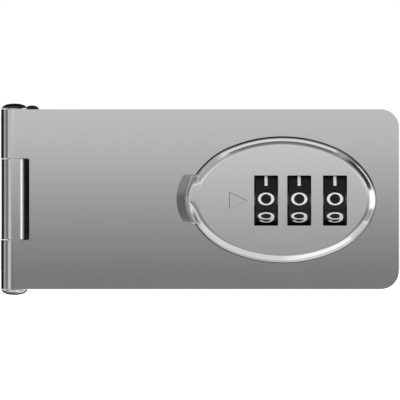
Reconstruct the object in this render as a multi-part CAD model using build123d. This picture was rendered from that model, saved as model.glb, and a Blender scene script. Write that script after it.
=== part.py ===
from build123d import *
from math import acos, atan2, cos, degrees, hypot, pi, radians, sin, sqrt
import os

# Combination cabinet lock: a hinged hasp plate that carries a three-wheel lock.
# X runs along the plate, Z is up and the front faces -Y. The cabinet surface is y = 0,
# and every "depth" below is a distance in front of it. The origin is the centre of the
# fixed leaf's four screw holes. All sizes are millimetres.

# Hasp plate
PLATE_LEFT = -29.0
PLATE_HEIGHT = 54.2
PLATE_MARGIN = 6.97
SHEET = 2.0
PLATE_CORNER = 5.45

# Hinge
BARREL_RADIUS = 4.0
MIDDLE_KNUCKLE = 24.24
KNUCKLE_GAP = 0.36
CUTOUT_CLEARANCE = 0.3
PIN_CLEARANCE = 0.05
CURL_END_ANGLE = 10.0
MIDDLE_CURL_END_ANGLE = 80.0
DOME_RADIUS = 3.78
DOME_HEIGHT = 1.7
DOME_GAP = 0.1
DOME_RIM = 0.35
PIN_SPIGOT_RADIUS = 1.2
PIN_SPIGOT_LENGTH = 1.1

# Fixed leaf
LEAF_INSET = 0.5
LEAF_LENGTH = 51.0
LEAF_CORNER = 3.0
LEAF_TO_OVAL = 5.49
SCREW_EDGE_HINGE = 12.0
SCREW_EDGE_END = 10.0
SCREW_EDGE_SIDE = 10.6
SCREW_HOLE_RADIUS = 2.75
SCREW_HEAD_RADIUS = 4.1
EAR_START = 5.5
EAR_WIDTH = 10.5
EAR_REST_GAP = 0.8
EAR_RELIEF = 0.5
EAR_PIN_OFFSET = 5.22
EAR_PIN_SETBACK = 4.6
EAR_PIN_RADIUS = 1.5
EAR_PIN_HEAD_RADIUS = 2.28
EAR_PIN_HEAD_HEIGHT = 1.8

# Lock case
FACE_RISE = 2.5
RIM_RADIUS = 2.3
WALL = 2.0
FACE_THICKNESS = 1.8
OVAL_END_SHARE = 1.047
OVAL_SIDE_SHARE = 0.9556
OVAL_HOLE_CLEARANCE = 0.12
FLANGE_WIDTH = 2.2
FLANGE_THICKNESS = 1.8
LUG_RADIUS = 3.4
LUG_INSET_X = 4.07
LUG_INSET_Z = 4.29
STUD_RADIUS = 1.5
STUD_LENGTH = 4.0
NUT_ACROSS_FLATS = 5.5
NUT_HEIGHT = 1.8
FIT = 0.02

# Back cover
COVER_BACK = 1.0
COVER_THICKNESS = 1.2
COVER_INSET = 0.3
COVER_SCREW_RADIUS = 1.0
COVER_SCREW_HEAD_RADIUS = 1.9
COVER_SCREW_HEAD_HEIGHT = 0.7
COVER_SCREW_LENGTH = 7.0
COVER_SCREW_SLOT_WIDTH = 0.5
COVER_SCREW_SLOT_DEPTH = 0.35
SCREW_TIP_ROOM = 0.5
RIGHT_SCREW_SETBACK = 2.6
RIGHT_SCREW_Z = 6.6
UPPER_SCREW_SETBACK = 3.7
UPPER_SCREW_INSET = 6.49
LOWER_SCREW_SETBACK = 1.84
LOWER_SCREW_INSET = 2.69
BOSS_RADIUS = 2.0
BOSS_DEPTH = 15.0
STAPLE_ROOM = 8.1
STAPLE_ENTRY_HALF_HEIGHT = 6.5
STAPLE_ENTRY_CORNER = 1.0
RESET_SLOT_HALF_HEIGHT = 1.6

# Dial windows and dials
WINDOW_SIDE_GAP = 0.41
WINDOW_HEIGHT = 15.1
WINDOW_CENTRE_Z = -0.38
DIAL_RADIUS = 9.65
DIAL_WIDTH = 6.4
DIAL_GAPS = (3.6, 4.43)
DIAL_PROUD = 0.6
DIAL_BACK_GAP = 0.6
DIAL_TO_WALL = 7.44
DIAL_STEPS = 10
FLUTE_RADIUS = 0.9
FLUTE_DEPTH = 0.35
DIAL_CHAMFER = 0.3
KEY_SLOT_DEPTH = 1.1

# Sleeves and shaft
SHAFT_RADIUS = 2.0
RUNNING_CLEARANCE = 0.05
SLEEVE_RADIUS = 3.4
DIAL_BORE_CLEARANCE = 0.08
STAR_RADIUS = 6.6
STAR_ROOT_RADIUS = 4.8
STAR_THICKNESS = 0.8
TOOTH_WIDTH = 1.5
STAR_TO_DIAL = 1.2
SLEEVE_OVERRUN = 0.5
LUG_KEY_RADIUS = 4.3
LUG_KEY_WIDTH = 1.0
LUG_KEY_LENGTH = 0.9
KEY_CLEARANCE = 0.1
STACK_GAP = 0.05
COLLAR_RADIUS = 3.2
COLLAR_THICKNESS = 0.4
COLLAR_GAP = 0.19
SHAFT_END_GAP = 0.63
SHAFT_SETBACK = 0.2
FORK_GROOVE_WIDTH = 0.9
FORK_GROOVE_RADIUS = 1.3
SHAFT_TIP = 0.6
BULKHEAD_THICKNESS = 1.6
DIVIDER_THICKNESS = 1.2
DIVIDER_GAP = 0.2
DIVIDER_RADIUS = 7.0
DIVIDER_START_Z = 5.0
RIB_GAP = 0.8
POST_GAP = 0.12
RESET_TRAVEL = 1.2

# Release tab and latch slide
TAB_REACH = 3.53
TAB_HALF_HEIGHT = 7.4
TAB_ARC_RADIUS = 12.9
TAB_BELOW_FACE = 0.4
TAB_LIFT = 0.2
TAB_EDGE = 0.4
NOTCH_CLEARANCE = 0.2
NOTCH_DEPTH = 3.6
GRIP_OFFSETS = (0.4, 1.25)
GRIP_WIDTH = 0.35
GRIP_DEPTH = 0.3
TONGUE_HALF_HEIGHT = 5.0
TONGUE_THICKNESS = 1.0
TONGUE_SETBACK = 1.7
SLIDE_TRAVEL = 2.4
SLIDE_CLEARANCE = 0.2
SLIDE_PLATE_THICKNESS = 1.8
SLIDE_PLATE_TOP = 5.0
SLIDE_PLATE_SETBACK = 0.6
LEG_GAP = 0.41
LEG_THICKNESS = 1.8
LEG_HALF_HEIGHT = 2.2
LEG_COVER_GAP = 1.8
NOSE_LENGTH = 2.8
NOSE_HEIGHT = 3.6
NOSE_BEVEL = 2.2
BAR_TO_DIAL = 1.05
BAR_THICKNESS = 1.5
BAR_SETBACK = 4.45
FINGER_THICKNESS = 0.8
FINGER_WIDTH = 1.3
FINGER_TIP_RADIUS = 5.3
FINGER_BASE_WIDTH = 6.0
FINGER_SHOULDER_RADIUS = 7.5
SPRING_LUG_OFFSET = 0.16
SPRING_LUG_THICKNESS = 1.2
SPRING_LUG_HEIGHT = 3.3
RIVET_RADIUS = 0.8
RIVET_HEAD_RADIUS = 1.5
RIVET_HEAD_HEIGHT = 0.7
TAB_RIVET_OFFSET = 4.7
TAB_RIVET_Z = 3.0
SLIDE_SPRING_RADIUS = 1.3
SLIDE_SPRING_WIRE = 0.2
SLIDE_SPRING_TURNS = 7
SLIDE_SPRING_OFFSET = 1.55
SPRING_SEAT_GAP = 0.05
COIL_STEPS = 12
WIRE_SIDES = 6

# Detent spring, reset slide and shaft spring
DETENT_THICKNESS = 0.3
DETENT_FINGER_WIDTH = 3.6
DETENT_STRIP_BOTTOM = 8.0
DETENT_STRIP_HEIGHT = 3.0
DETENT_STRIP_MARGIN = 2.4
DETENT_TIP_GAP = 0.17
DETENT_TIP_HALF = 1.1
DETENT_RIVET_RADIUS = 0.7
DETENT_RIVET_HEAD_RADIUS = 1.3
DETENT_RIVET_HEAD_HEIGHT = 0.4
FORK_THICKNESS = 0.8
FORK_HALF_HEIGHT = 2.9
FORK_ARM = 1.2
FOOT_THICKNESS = 1.2
FOOT_SETBACK = 1.6
KNOB_SETBACK = 1.3
KNOB_LENGTH = 1.8
KNOB_HALF_HEIGHT = 1.3
KNOB_PEN_RADIUS = 0.5
KNOB_PEN_DEPTH = 0.8
SHAFT_SPRING_ROOM = 2.855
SHAFT_SPRING_RADIUS = 2.55
SHAFT_SPRING_WIRE = 0.2
SHAFT_SPRING_TURNS = 3

# How far a cutting shape runs past the face it opens
CUT_MARGIN = 1.0

# Depths that follow from the sizes: the lock is as deep as its dials need
COVER_FRONT = COVER_BACK + COVER_THICKNESS
DIAL_DEPTH = COVER_FRONT + DIAL_BACK_GAP + DIAL_RADIUS
FACE_FRONT = DIAL_DEPTH + DIAL_RADIUS - DIAL_PROUD
FACE_BACK = FACE_FRONT - FACE_THICKNESS
PLATE_FRONT = FACE_FRONT - FACE_RISE
PLATE_BACK = PLATE_FRONT - SHEET
PIN_DEPTH = PLATE_FRONT - BARREL_RADIUS
EAR_PIN_DEPTH = PIN_DEPTH - EAR_PIN_SETBACK
TAB_FRONT = FACE_FRONT - TAB_BELOW_FACE
TAB_BACK = PLATE_FRONT + TAB_LIFT
SLIDE_FRONT = FACE_BACK - SLIDE_CLEARANCE
SLIDE_BACK = SLIDE_FRONT - SLIDE_PLATE_THICKNESS
NOTCH_FLOOR = TAB_BACK - SLIDE_CLEARANCE / 2
POCKET_FRONT = SLIDE_FRONT + TONGUE_THICKNESS + SLIDE_CLEARANCE
RIB_BACK = COVER_FRONT + RIB_GAP
LEG_BACK = COVER_FRONT + LEG_COVER_GAP
BAR_BACK = DIAL_DEPTH - BAR_SETBACK
SLIDE_SPRING_DEPTH = DIAL_DEPTH + SLIDE_SPRING_OFFSET

# Places along X that follow from the sizes, from the hinge to the plate's free end
PIN_X = PLATE_LEFT + BARREL_RADIUS
KNUCKLE_BORE = BARREL_RADIUS - SHEET
BASE_START = PLATE_LEFT + SHEET + LEAF_CORNER
LEAF_END = PLATE_LEFT + LEAF_LENGTH
OVAL_LEFT = LEAF_END + LEAF_TO_OVAL
LEG_X = OVAL_LEFT + WALL + SLIDE_TRAVEL + LEG_GAP
LEFT_BULKHEAD = LEG_X + LEG_THICKNESS + STAPLE_ROOM
FIRST_SLEEVE = (
    LEFT_BULKHEAD + BULKHEAD_THICKNESS + RESET_TRAVEL + COLLAR_GAP + COLLAR_THICKNESS + STACK_GAP
)
FIRST_DIAL = FIRST_SLEEVE + STAR_THICKNESS + STAR_TO_DIAL + DIAL_WIDTH / 2
SECOND_DIAL = FIRST_DIAL + DIAL_WIDTH + DIAL_GAPS[0]
THIRD_DIAL = SECOND_DIAL + DIAL_WIDTH + DIAL_GAPS[1]
DIAL_XS = (FIRST_DIAL, SECOND_DIAL, THIRD_DIAL)
RIGHT_BULKHEAD = THIRD_DIAL + DIAL_WIDTH / 2 + SLEEVE_OVERRUN + STACK_GAP + RUNNING_CLEARANCE / 2
FORK_GROOVE_START = RIGHT_BULKHEAD + BULKHEAD_THICKNESS + SHAFT_SPRING_ROOM
SHAFT_START = LEFT_BULKHEAD + SHAFT_SETBACK
SHAFT_END = FORK_GROOVE_START + FORK_GROOVE_WIDTH + SHAFT_TIP
OVAL_RIGHT = SHAFT_END + SHAFT_END_GAP + WALL
PLATE_RIGHT = OVAL_RIGHT + PLATE_MARGIN
OVAL_X = (OVAL_LEFT + OVAL_RIGHT) / 2
NOTCH_END = OVAL_LEFT + NOTCH_DEPTH
TONGUE_END = LEFT_BULKHEAD - TONGUE_SETBACK
SLIDE_PLATE_END = LEFT_BULKHEAD - SLIDE_PLATE_SETBACK
TAB_RIVET_X = LEG_X + TAB_RIVET_OFFSET
SPRING_LUG_START = SECOND_DIAL + SPRING_LUG_OFFSET
FOOT_START = FORK_GROOVE_START - FOOT_SETBACK
KNOB_START = FORK_GROOVE_START - KNOB_SETBACK

# Half sizes that follow
OVAL_HALF_LENGTH = (OVAL_RIGHT - OVAL_LEFT) / 2
OVAL_HALF_HEIGHT = DIAL_RADIUS + DIAL_TO_WALL + WALL
INNER_HALF_HEIGHT = OVAL_HALF_HEIGHT - WALL
LEAF_HALF_HEIGHT = PLATE_HEIGHT / 2 - LEAF_INSET
BAR_TOP = -DIAL_RADIUS - BAR_TO_DIAL
BAR_BOTTOM = BAR_TOP - BAR_THICKNESS
STEP_ANGLE = 360.0 / DIAL_STEPS
GATE_ANGLE = 270.0
COVER_SCREWS = (
    (LEFT_BULKHEAD - UPPER_SCREW_SETBACK, INNER_HALF_HEIGHT - UPPER_SCREW_INSET),
    (SHAFT_END - RIGHT_SCREW_SETBACK, RIGHT_SCREW_Z),
    (SHAFT_END - RIGHT_SCREW_SETBACK, -RIGHT_SCREW_Z),
    (FIRST_DIAL - LOWER_SCREW_SETBACK, LOWER_SCREW_INSET - INNER_HALF_HEIGHT),
)
SPRING_SEAT_SCREW = COVER_SCREWS[3]


def face_plane(depth, x=0.0, z=0.0):
    """Plane parallel to the cabinet surface; its normal points to the front."""
    return Plane(origin=(x, -depth, z), x_dir=(1, 0, 0), z_dir=(0, -1, 0))


def dial_plane(x):
    """Plane across the dial axis: 90 degrees is up, 180 front and 270 down."""
    return Plane(origin=(x, -DIAL_DEPTH, 0), x_dir=(0, 1, 0), z_dir=(1, 0, 0))


def slab(sketch, back, front, x=0.0, z=0.0):
    """Extrude a sketch from one depth to another."""
    return extrude(face_plane(back, x, z) * sketch, amount=front - back)


def block(x0, x1, z0, z1, back, front):
    """Box given by its limits along X and Z and its two depths."""
    return slab(Rectangle(x1 - x0, z1 - z0, align=(Align.MIN, Align.MIN)), back, front, x0, z0)


def round_bar(radius, back, front, x, z):
    """Round bar that stands out from the cabinet surface."""
    return slab(Circle(radius), back, front, x, z)


def turned(radius, x0, x1):
    """Cylinder on the dial axis."""
    return extrude(dial_plane(x0) * Circle(radius), amount=x1 - x0)


def oval(grow=0.0, x=OVAL_X):
    """Oval outline of eight tangent arcs, grown or shrunk all round."""
    end = OVAL_END_SHARE * OVAL_HALF_HEIGHT**2 / OVAL_HALF_LENGTH
    side = OVAL_SIDE_SHARE * OVAL_HALF_LENGTH**2 / OVAL_HALF_HEIGHT
    shoulder = sqrt(end * side)
    end_x = OVAL_HALF_LENGTH - end
    side_z = OVAL_HALF_HEIGHT - side
    span = hypot(end_x, side_z)
    near = side - shoulder
    turn = acos((span**2 + near**2 - (shoulder - end) ** 2) / (2 * span * near))
    side_angle = atan2(-side_z, end_x) + turn
    shoulder_x = near * cos(side_angle)
    shoulder_z = side_z + near * sin(side_angle)
    end_angle = degrees(atan2(-shoulder_z, end_x - shoulder_x))
    side_angle = degrees(side_angle)
    arcs = []
    for sign, half_turn in ((1, 0), (-1, 180)):
        arcs.append(CenterArc((sign * end_x, 0), end + grow, half_turn - end_angle, 2 * end_angle))
        arcs.append(
            CenterArc(
                (sign * shoulder_x, sign * shoulder_z),
                shoulder + grow,
                half_turn + end_angle,
                side_angle - end_angle,
            )
        )
        arcs.append(
            CenterArc((0, sign * side_z), side + grow, half_turn + side_angle, 180 - 2 * side_angle)
        )
        arcs.append(
            CenterArc(
                (-sign * shoulder_x, sign * shoulder_z),
                shoulder + grow,
                half_turn + 180 - side_angle,
                side_angle - end_angle,
            )
        )
    return Pos(x, 0) * make_face(arcs)


def dome(radius, height):
    """Domed head on the XY plane: a short rim and a cap of a sphere above it."""
    crown = height - DOME_RIM
    sphere_radius = (radius**2 + crown**2) / (2 * crown)
    ball = Pos(0, 0, height - sphere_radius) * Sphere(sphere_radius)
    return ball & extrude(Circle(radius), amount=height)


def spring(radius, wire, turns, start, end, depth, z):
    """Coil spring with its axis along X, its wire bent in short straight steps with mitres."""
    length = end - start - 2 * wire
    steps = turns * COIL_STEPS
    points = []
    for step in range(steps + 1):
        angle = 2 * pi * step / COIL_STEPS
        points.append(Vector(radius * cos(angle), radius * sin(angle), length * step / steps))
    runs = [(after - before).normalized() for before, after in zip(points, points[1:])]
    wire_end = Plane(origin=points[0], z_dir=runs[0])
    corner_angles = [2 * pi * corner / WIRE_SIDES for corner in range(WIRE_SIDES)]
    ring = [wire_end.from_local_coords(Vector(wire * cos(a), wire * sin(a))) for a in corner_angles]
    rings = [ring]
    for step, run in enumerate(runs):
        mitre = run + runs[min(step + 1, steps - 1)]
        middle = points[step + 1]
        ring = [corner + run * ((middle - corner).dot(mitre) / run.dot(mitre)) for corner in ring]
        rings.append(ring)
    faces = [Face(Wire.make_polygon(ring)) for ring in (rings[0], rings[-1])]
    for before, after in zip(rings, rings[1:]):
        for i in range(WIRE_SIDES):
            j = (i + 1) % WIRE_SIDES
            faces.append(Face(Wire.make_polygon([before[i], before[j], after[j], after[i]])))
    return Pos(start + wire, -depth, z) * Rot(0, 90, 0) * Solid(Shell(faces))


# Hinge and fixed leaf

def knuckle_ring(height):
    """Tube about the hinge pin's axis, centred on z = 0."""
    ring = Circle(BARREL_RADIUS) - Circle(KNUCKLE_BORE)
    return extrude(Pos(PIN_X, -PIN_DEPTH) * ring, amount=height / 2, both=True)


def sector(points, height):
    """Prism with straight sides from the pin's axis, used to open a curl."""
    outline = Pos(PIN_X, -PIN_DEPTH) * make_face(Polyline(points, close=True))
    return extrude(outline, amount=height / 2, both=True)


def make_hasp_plate():
    """Front plate: rolled knuckles, cut-out, oval opening and welded studs."""
    half = PLATE_HEIGHT / 2
    flat = block(PIN_X, PLATE_RIGHT, -half, half, PLATE_BACK, PLATE_FRONT)
    corners = flat.edges().filter_by(Axis.Y).group_by(Axis.X)[-1]
    flat = fillet(corners, PLATE_CORNER)
    reach = 2 * BARREL_RADIUS
    end = radians(CURL_END_ANGLE)
    opening = [(0, 0), (0, -reach), (reach, -reach), (reach * cos(end), reach * sin(end))]
    curl = knuckle_ring(PLATE_HEIGHT) - sector(opening, PLATE_HEIGHT)
    plate = flat + curl
    cutout_half = MIDDLE_KNUCKLE / 2 + KNUCKLE_GAP
    plate -= block(
        PLATE_LEFT - CUT_MARGIN,
        PIN_X + BARREL_RADIUS + CUTOUT_CLEARANCE,
        -cutout_half,
        cutout_half,
        PIN_DEPTH - reach,
        PLATE_FRONT + CUT_MARGIN,
    )
    plate -= slab(oval(OVAL_HOLE_CLEARANCE), PLATE_BACK - CUT_MARGIN, PLATE_FRONT + CUT_MARGIN)
    for x, z in lug_places():
        plate += round_bar(STUD_RADIUS, PLATE_BACK - STUD_LENGTH, PLATE_BACK, x, z)
    return plate


def make_fixed_leaf():
    """Leaf on the cabinet: base, ears for the ear pin, web and middle knuckle."""
    half = LEAF_HALF_HEIGHT
    knuckle = MIDDLE_KNUCKLE / 2
    base = block(BASE_START, LEAF_END, -half, half, 0, SHEET)
    base = fillet(base.edges().filter_by(Axis.Y).group_by(Axis.X)[-1], LEAF_CORNER)
    web = block(PLATE_LEFT, BASE_START + SHEET, -knuckle, knuckle, 0, PIN_DEPTH)
    web -= block(PLATE_LEFT + SHEET, LEAF_END, -knuckle, knuckle, SHEET, PIN_DEPTH)
    bend = web.edges().filter_by(Axis.Z).group_by(Axis.X)[0].sort_by(Axis.Y)[-1:]
    web = fillet(bend, SHEET)
    reach = 2 * BARREL_RADIUS
    end = radians(MIDDLE_CURL_END_ANGLE)
    opening = [(0, 0), (reach * cos(end), reach * sin(end)), (-reach, reach), (-reach, 0)]
    curl = knuckle_ring(MIDDLE_KNUCKLE) - sector(opening, MIDDLE_KNUCKLE)
    leaf = base + web + curl
    ear_start = PLATE_LEFT + EAR_START
    for low in (-half, half - SHEET):
        ear = block(
            ear_start, ear_start + EAR_WIDTH, low, low + SHEET, SHEET, PLATE_BACK - EAR_REST_GAP
        )
        front_corner = ear.edges().filter_by(Axis.Z).group_by(Axis.X)[-1].sort_by(Axis.Y)[:1]
        leaf += fillet(front_corner, LEAF_CORNER)
    relief = Pos(PIN_X, -PIN_DEPTH) * Circle(BARREL_RADIUS + EAR_RELIEF)
    for side in (1, -1):
        leaf -= Pos(0, 0, side * (knuckle + KNUCKLE_GAP)) * extrude(relief, amount=side * half)
    leaf -= ear_pin_shank(RUNNING_CLEARANCE)
    screw_z = half - SCREW_EDGE_SIDE
    sink = SCREW_HEAD_RADIUS - SCREW_HOLE_RADIUS
    seat = Cone(
        SCREW_HOLE_RADIUS, SCREW_HEAD_RADIUS, sink, align=(Align.CENTER, Align.CENTER, Align.MAX)
    )
    for x in (BASE_START + SCREW_EDGE_HINGE, LEAF_END - SCREW_EDGE_END):
        for z in (-screw_z, screw_z):
            leaf -= round_bar(SCREW_HOLE_RADIUS, -CUT_MARGIN, SHEET + CUT_MARGIN, x, z)
            leaf -= face_plane(SHEET, x, z) * seat
    return leaf


def ear_pin_shank(grow=0.0):
    """Shank of the ear pin from the lower ear's outer face to the upper ear's."""
    shank = Pos(PIN_X + EAR_PIN_OFFSET, -EAR_PIN_DEPTH) * Circle(EAR_PIN_RADIUS + grow)
    return extrude(shank, amount=LEAF_HALF_HEIGHT, both=True)


def make_ear_pin():
    """Pin through both ears, with a domed head on top."""
    head = dome(EAR_PIN_HEAD_RADIUS, EAR_PIN_HEAD_HEIGHT)
    return ear_pin_shank() + Pos(PIN_X + EAR_PIN_OFFSET, -EAR_PIN_DEPTH, LEAF_HALF_HEIGHT) * head


def make_hinge_pin():
    """Hinge pin: lower domed head, long shank and a spigot for the cap."""
    half = PLATE_HEIGHT / 2 + DOME_GAP
    axis = Pos(PIN_X, -PIN_DEPTH)
    shank = extrude(axis * Circle(KNUCKLE_BORE - PIN_CLEARANCE), amount=half, both=True)
    spigot = Pos(0, 0, half) * extrude(axis * Circle(PIN_SPIGOT_RADIUS), amount=PIN_SPIGOT_LENGTH)
    head = Pos(PIN_X, -PIN_DEPTH, -half) * Rot(180, 0, 0) * dome(DOME_RADIUS, DOME_HEIGHT)
    return shank + spigot + head


def make_pin_cap():
    """Domed cap pressed on the hinge pin's upper end."""
    cap = dome(DOME_RADIUS, DOME_HEIGHT)
    cap -= extrude(Circle(PIN_SPIGOT_RADIUS + FIT), amount=PIN_SPIGOT_LENGTH)
    return Pos(PIN_X, -PIN_DEPTH, PLATE_HEIGHT / 2 + DOME_GAP) * cap


# Lock case, cover and fasteners

def lug_places():
    """Centres of the four lugs that clamp the case to the plate."""
    reach_x = OVAL_HALF_LENGTH - LUG_INSET_X
    reach_z = OVAL_HALF_HEIGHT - LUG_INSET_Z
    return [(OVAL_X + sx * reach_x, sz * reach_z) for sx in (-1, 1) for sz in (-1, 1)]


def make_lock_case():
    """Die-cast oval case with windows, tab notch, bulkheads, dividers and bosses."""
    shell = slab(oval(), COVER_FRONT, FACE_FRONT)
    rim = shell.edges().group_by(Axis.Y)[0]
    shell = fillet(rim, RIM_RADIUS)
    shell += slab(oval(FLANGE_WIDTH), PLATE_BACK - FLANGE_THICKNESS, PLATE_BACK)
    for x, z in lug_places():
        shell += round_bar(LUG_RADIUS, PLATE_BACK - FLANGE_THICKNESS, PLATE_BACK, x, z)
    for x, z in lug_places():
        hole_radius = STUD_RADIUS + RUNNING_CLEARANCE
        shell -= round_bar(hole_radius, PLATE_BACK - STUD_LENGTH, PLATE_BACK + CUT_MARGIN, x, z)
    cavity = slab(oval(-WALL), 0, FACE_BACK)
    shell -= cavity
    shell += case_ribs() & cavity
    window_half = DIAL_WIDTH / 2 + WINDOW_SIDE_GAP
    window_bottom = WINDOW_CENTRE_Z - WINDOW_HEIGHT / 2
    for x in DIAL_XS:
        shell -= block(
            x - window_half,
            x + window_half,
            window_bottom,
            window_bottom + WINDOW_HEIGHT,
            FACE_BACK - FIT,
            FACE_FRONT + CUT_MARGIN,
        )
    notch = TAB_HALF_HEIGHT + NOTCH_CLEARANCE
    shell -= block(
        OVAL_LEFT - CUT_MARGIN, NOTCH_END, -notch, notch, NOTCH_FLOOR, FACE_FRONT + CUT_MARGIN
    )
    pocket = TONGUE_HALF_HEIGHT + NOTCH_CLEARANCE
    shell -= block(
        OVAL_LEFT + WALL, TONGUE_END + SLIDE_CLEARANCE, -pocket, pocket, NOTCH_FLOOR, POCKET_FRONT
    )
    tip = COVER_BACK + COVER_SCREW_LENGTH + SCREW_TIP_ROOM
    for x, z in COVER_SCREWS:
        shell -= round_bar(COVER_SCREW_RADIUS + FIT, 0, tip, x, z)
    return shell


def case_ribs():
    """Bulkheads, dial dividers and screw bosses, as tall as the cavity."""
    top = OVAL_HALF_HEIGHT
    left_end = LEFT_BULKHEAD + BULKHEAD_THICKNESS
    right_end = RIGHT_BULKHEAD + BULKHEAD_THICKNESS
    ribs = block(LEFT_BULKHEAD, left_end, BAR_TOP + SLIDE_CLEARANCE, top, RIB_BACK, FACE_BACK)
    ribs += block(LEFT_BULKHEAD, left_end, -top, BAR_BOTTOM - SLIDE_CLEARANCE, RIB_BACK, FACE_BACK)
    ribs += block(RIGHT_BULKHEAD, right_end, -top, top, RIB_BACK, FACE_BACK)
    seat = SHAFT_RADIUS + RUNNING_CLEARANCE
    for start, end in ((LEFT_BULKHEAD, left_end), (RIGHT_BULKHEAD, right_end)):
        ribs -= turned(seat, start - CUT_MARGIN, end + CUT_MARGIN)
        ribs -= block(
            start - CUT_MARGIN, end + CUT_MARGIN, -seat, seat, RIB_BACK - CUT_MARGIN, DIAL_DEPTH
        )
    divider_reach = DIAL_WIDTH / 2 + DIVIDER_GAP
    for x in DIAL_XS:
        for start in (x - divider_reach - DIVIDER_THICKNESS, x + divider_reach):
            end = start + DIVIDER_THICKNESS
            divider = block(start, end, DIVIDER_START_Z, top, RIB_BACK, FACE_BACK)
            ribs += divider - turned(DIVIDER_RADIUS, start - CUT_MARGIN, end + CUT_MARGIN)
    boss_front = COVER_FRONT + BOSS_DEPTH
    for x, z in COVER_SCREWS:
        ribs += round_bar(BOSS_RADIUS, COVER_FRONT, boss_front, x, z)
        low, high = sorted((z, top if z > 0 else -top))
        ribs += block(x - BOSS_RADIUS, x + BOSS_RADIUS, low, high, COVER_FRONT, boss_front)
    return ribs


def make_back_cover():
    """Flat cover with the staple entry, reset slot and two shaft posts."""
    through = COVER_FRONT + CUT_MARGIN
    cover = slab(oval(-COVER_INSET), COVER_BACK, COVER_FRONT)
    entry = block(
        LEG_X + LEG_THICKNESS + SLIDE_CLEARANCE,
        LEFT_BULKHEAD - SLIDE_CLEARANCE,
        -STAPLE_ENTRY_HALF_HEIGHT,
        STAPLE_ENTRY_HALF_HEIGHT,
        0,
        through,
    )
    cover -= fillet(entry.edges().filter_by(Axis.Y), STAPLE_ENTRY_CORNER)
    cover -= block(
        KNOB_START - RESET_TRAVEL - SLIDE_CLEARANCE,
        KNOB_START + KNOB_LENGTH + SLIDE_CLEARANCE,
        -RESET_SLOT_HALF_HEIGHT,
        RESET_SLOT_HALF_HEIGHT,
        0,
        through,
    )
    for x, z in COVER_SCREWS:
        cover -= round_bar(COVER_SCREW_RADIUS + RUNNING_CLEARANCE, 0, through, x, z)
        cover -= round_bar(
            COVER_SCREW_HEAD_RADIUS + RUNNING_CLEARANCE, 0, COVER_BACK + COVER_SCREW_HEAD_HEIGHT, x, z
        )
    for x, z in detent_rivet_places():
        cover -= round_bar(DETENT_RIVET_RADIUS + FIT, 0, through, x, z)
    post_front = DIAL_DEPTH - SHAFT_RADIUS - POST_GAP
    half = SHAFT_RADIUS + RUNNING_CLEARANCE - POST_GAP
    for start in (LEFT_BULKHEAD, RIGHT_BULKHEAD):
        end = start + BULKHEAD_THICKNESS
        cover += block(start + POST_GAP, end - POST_GAP, -half, half, COVER_FRONT, post_front)
    return cover


def make_cover_screws():
    """Four slotted screws with flat heads sunk in the cover."""
    head_front = COVER_BACK + COVER_SCREW_HEAD_HEIGHT
    slot = Rectangle(2 * COVER_SCREW_HEAD_RADIUS + CUT_MARGIN, COVER_SCREW_SLOT_WIDTH)
    screws = []
    for x, z in COVER_SCREWS:
        screw = round_bar(COVER_SCREW_HEAD_RADIUS, COVER_BACK, head_front, x, z)
        screw += round_bar(COVER_SCREW_RADIUS, head_front, COVER_BACK + COVER_SCREW_LENGTH, x, z)
        screw -= slab(slot, COVER_BACK - CUT_MARGIN, COVER_BACK + COVER_SCREW_SLOT_DEPTH, x, z)
        screws.append(screw)
    return Compound(screws)


def make_stud_nuts():
    """Hexagon nuts on the plate's studs, against the case's lugs."""
    seat = PLATE_BACK - FLANGE_THICKNESS
    hexagon = RegularPolygon(NUT_ACROSS_FLATS / 2, 6, major_radius=False) - Circle(STUD_RADIUS + FIT)
    return Compound([slab(hexagon, seat - NUT_HEIGHT, seat, x, z) for x, z in lug_places()])


# Dials, sleeves and shaft

def make_dial(x):
    """Number wheel: ten flutes, chamfered rims and ten key slots."""
    start = x - DIAL_WIDTH / 2
    end = x + DIAL_WIDTH / 2
    dial = turned(DIAL_RADIUS, start, end)
    dial = chamfer(dial.edges().filter_by(GeomType.CIRCLE), DIAL_CHAMFER)
    flute_centre = DIAL_RADIUS + FLUTE_RADIUS - FLUTE_DEPTH
    cut_start = dial_plane(start - CUT_MARGIN)
    cut_length = DIAL_WIDTH + 2 * CUT_MARGIN
    for step in range(DIAL_STEPS):
        angle = radians(STEP_ANGLE * (step + 0.5))
        flute = Pos(flute_centre * cos(angle), flute_centre * sin(angle)) * Circle(FLUTE_RADIUS)
        dial -= extrude(cut_start * flute, amount=cut_length)
    dial -= turned(SLEEVE_RADIUS + DIAL_BORE_CLEARANCE, start - CUT_MARGIN, end + CUT_MARGIN)
    slot = Rectangle(
        LUG_KEY_RADIUS + KEY_CLEARANCE,
        LUG_KEY_WIDTH + 2 * KEY_CLEARANCE,
        align=(Align.MIN, Align.CENTER),
    )
    for step in range(DIAL_STEPS):
        turn = Rot(0, 0, GATE_ANGLE + STEP_ANGLE * step)
        dial -= extrude(cut_start * turn * slot, amount=KEY_SLOT_DEPTH + CUT_MARGIN)
    return dial


def sleeve_span(x):
    """First and last place of a sleeve along X."""
    start = x - DIAL_WIDTH / 2 - STAR_TO_DIAL - STAR_THICKNESS
    return start, x + DIAL_WIDTH / 2 + SLEEVE_OVERRUN


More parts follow.
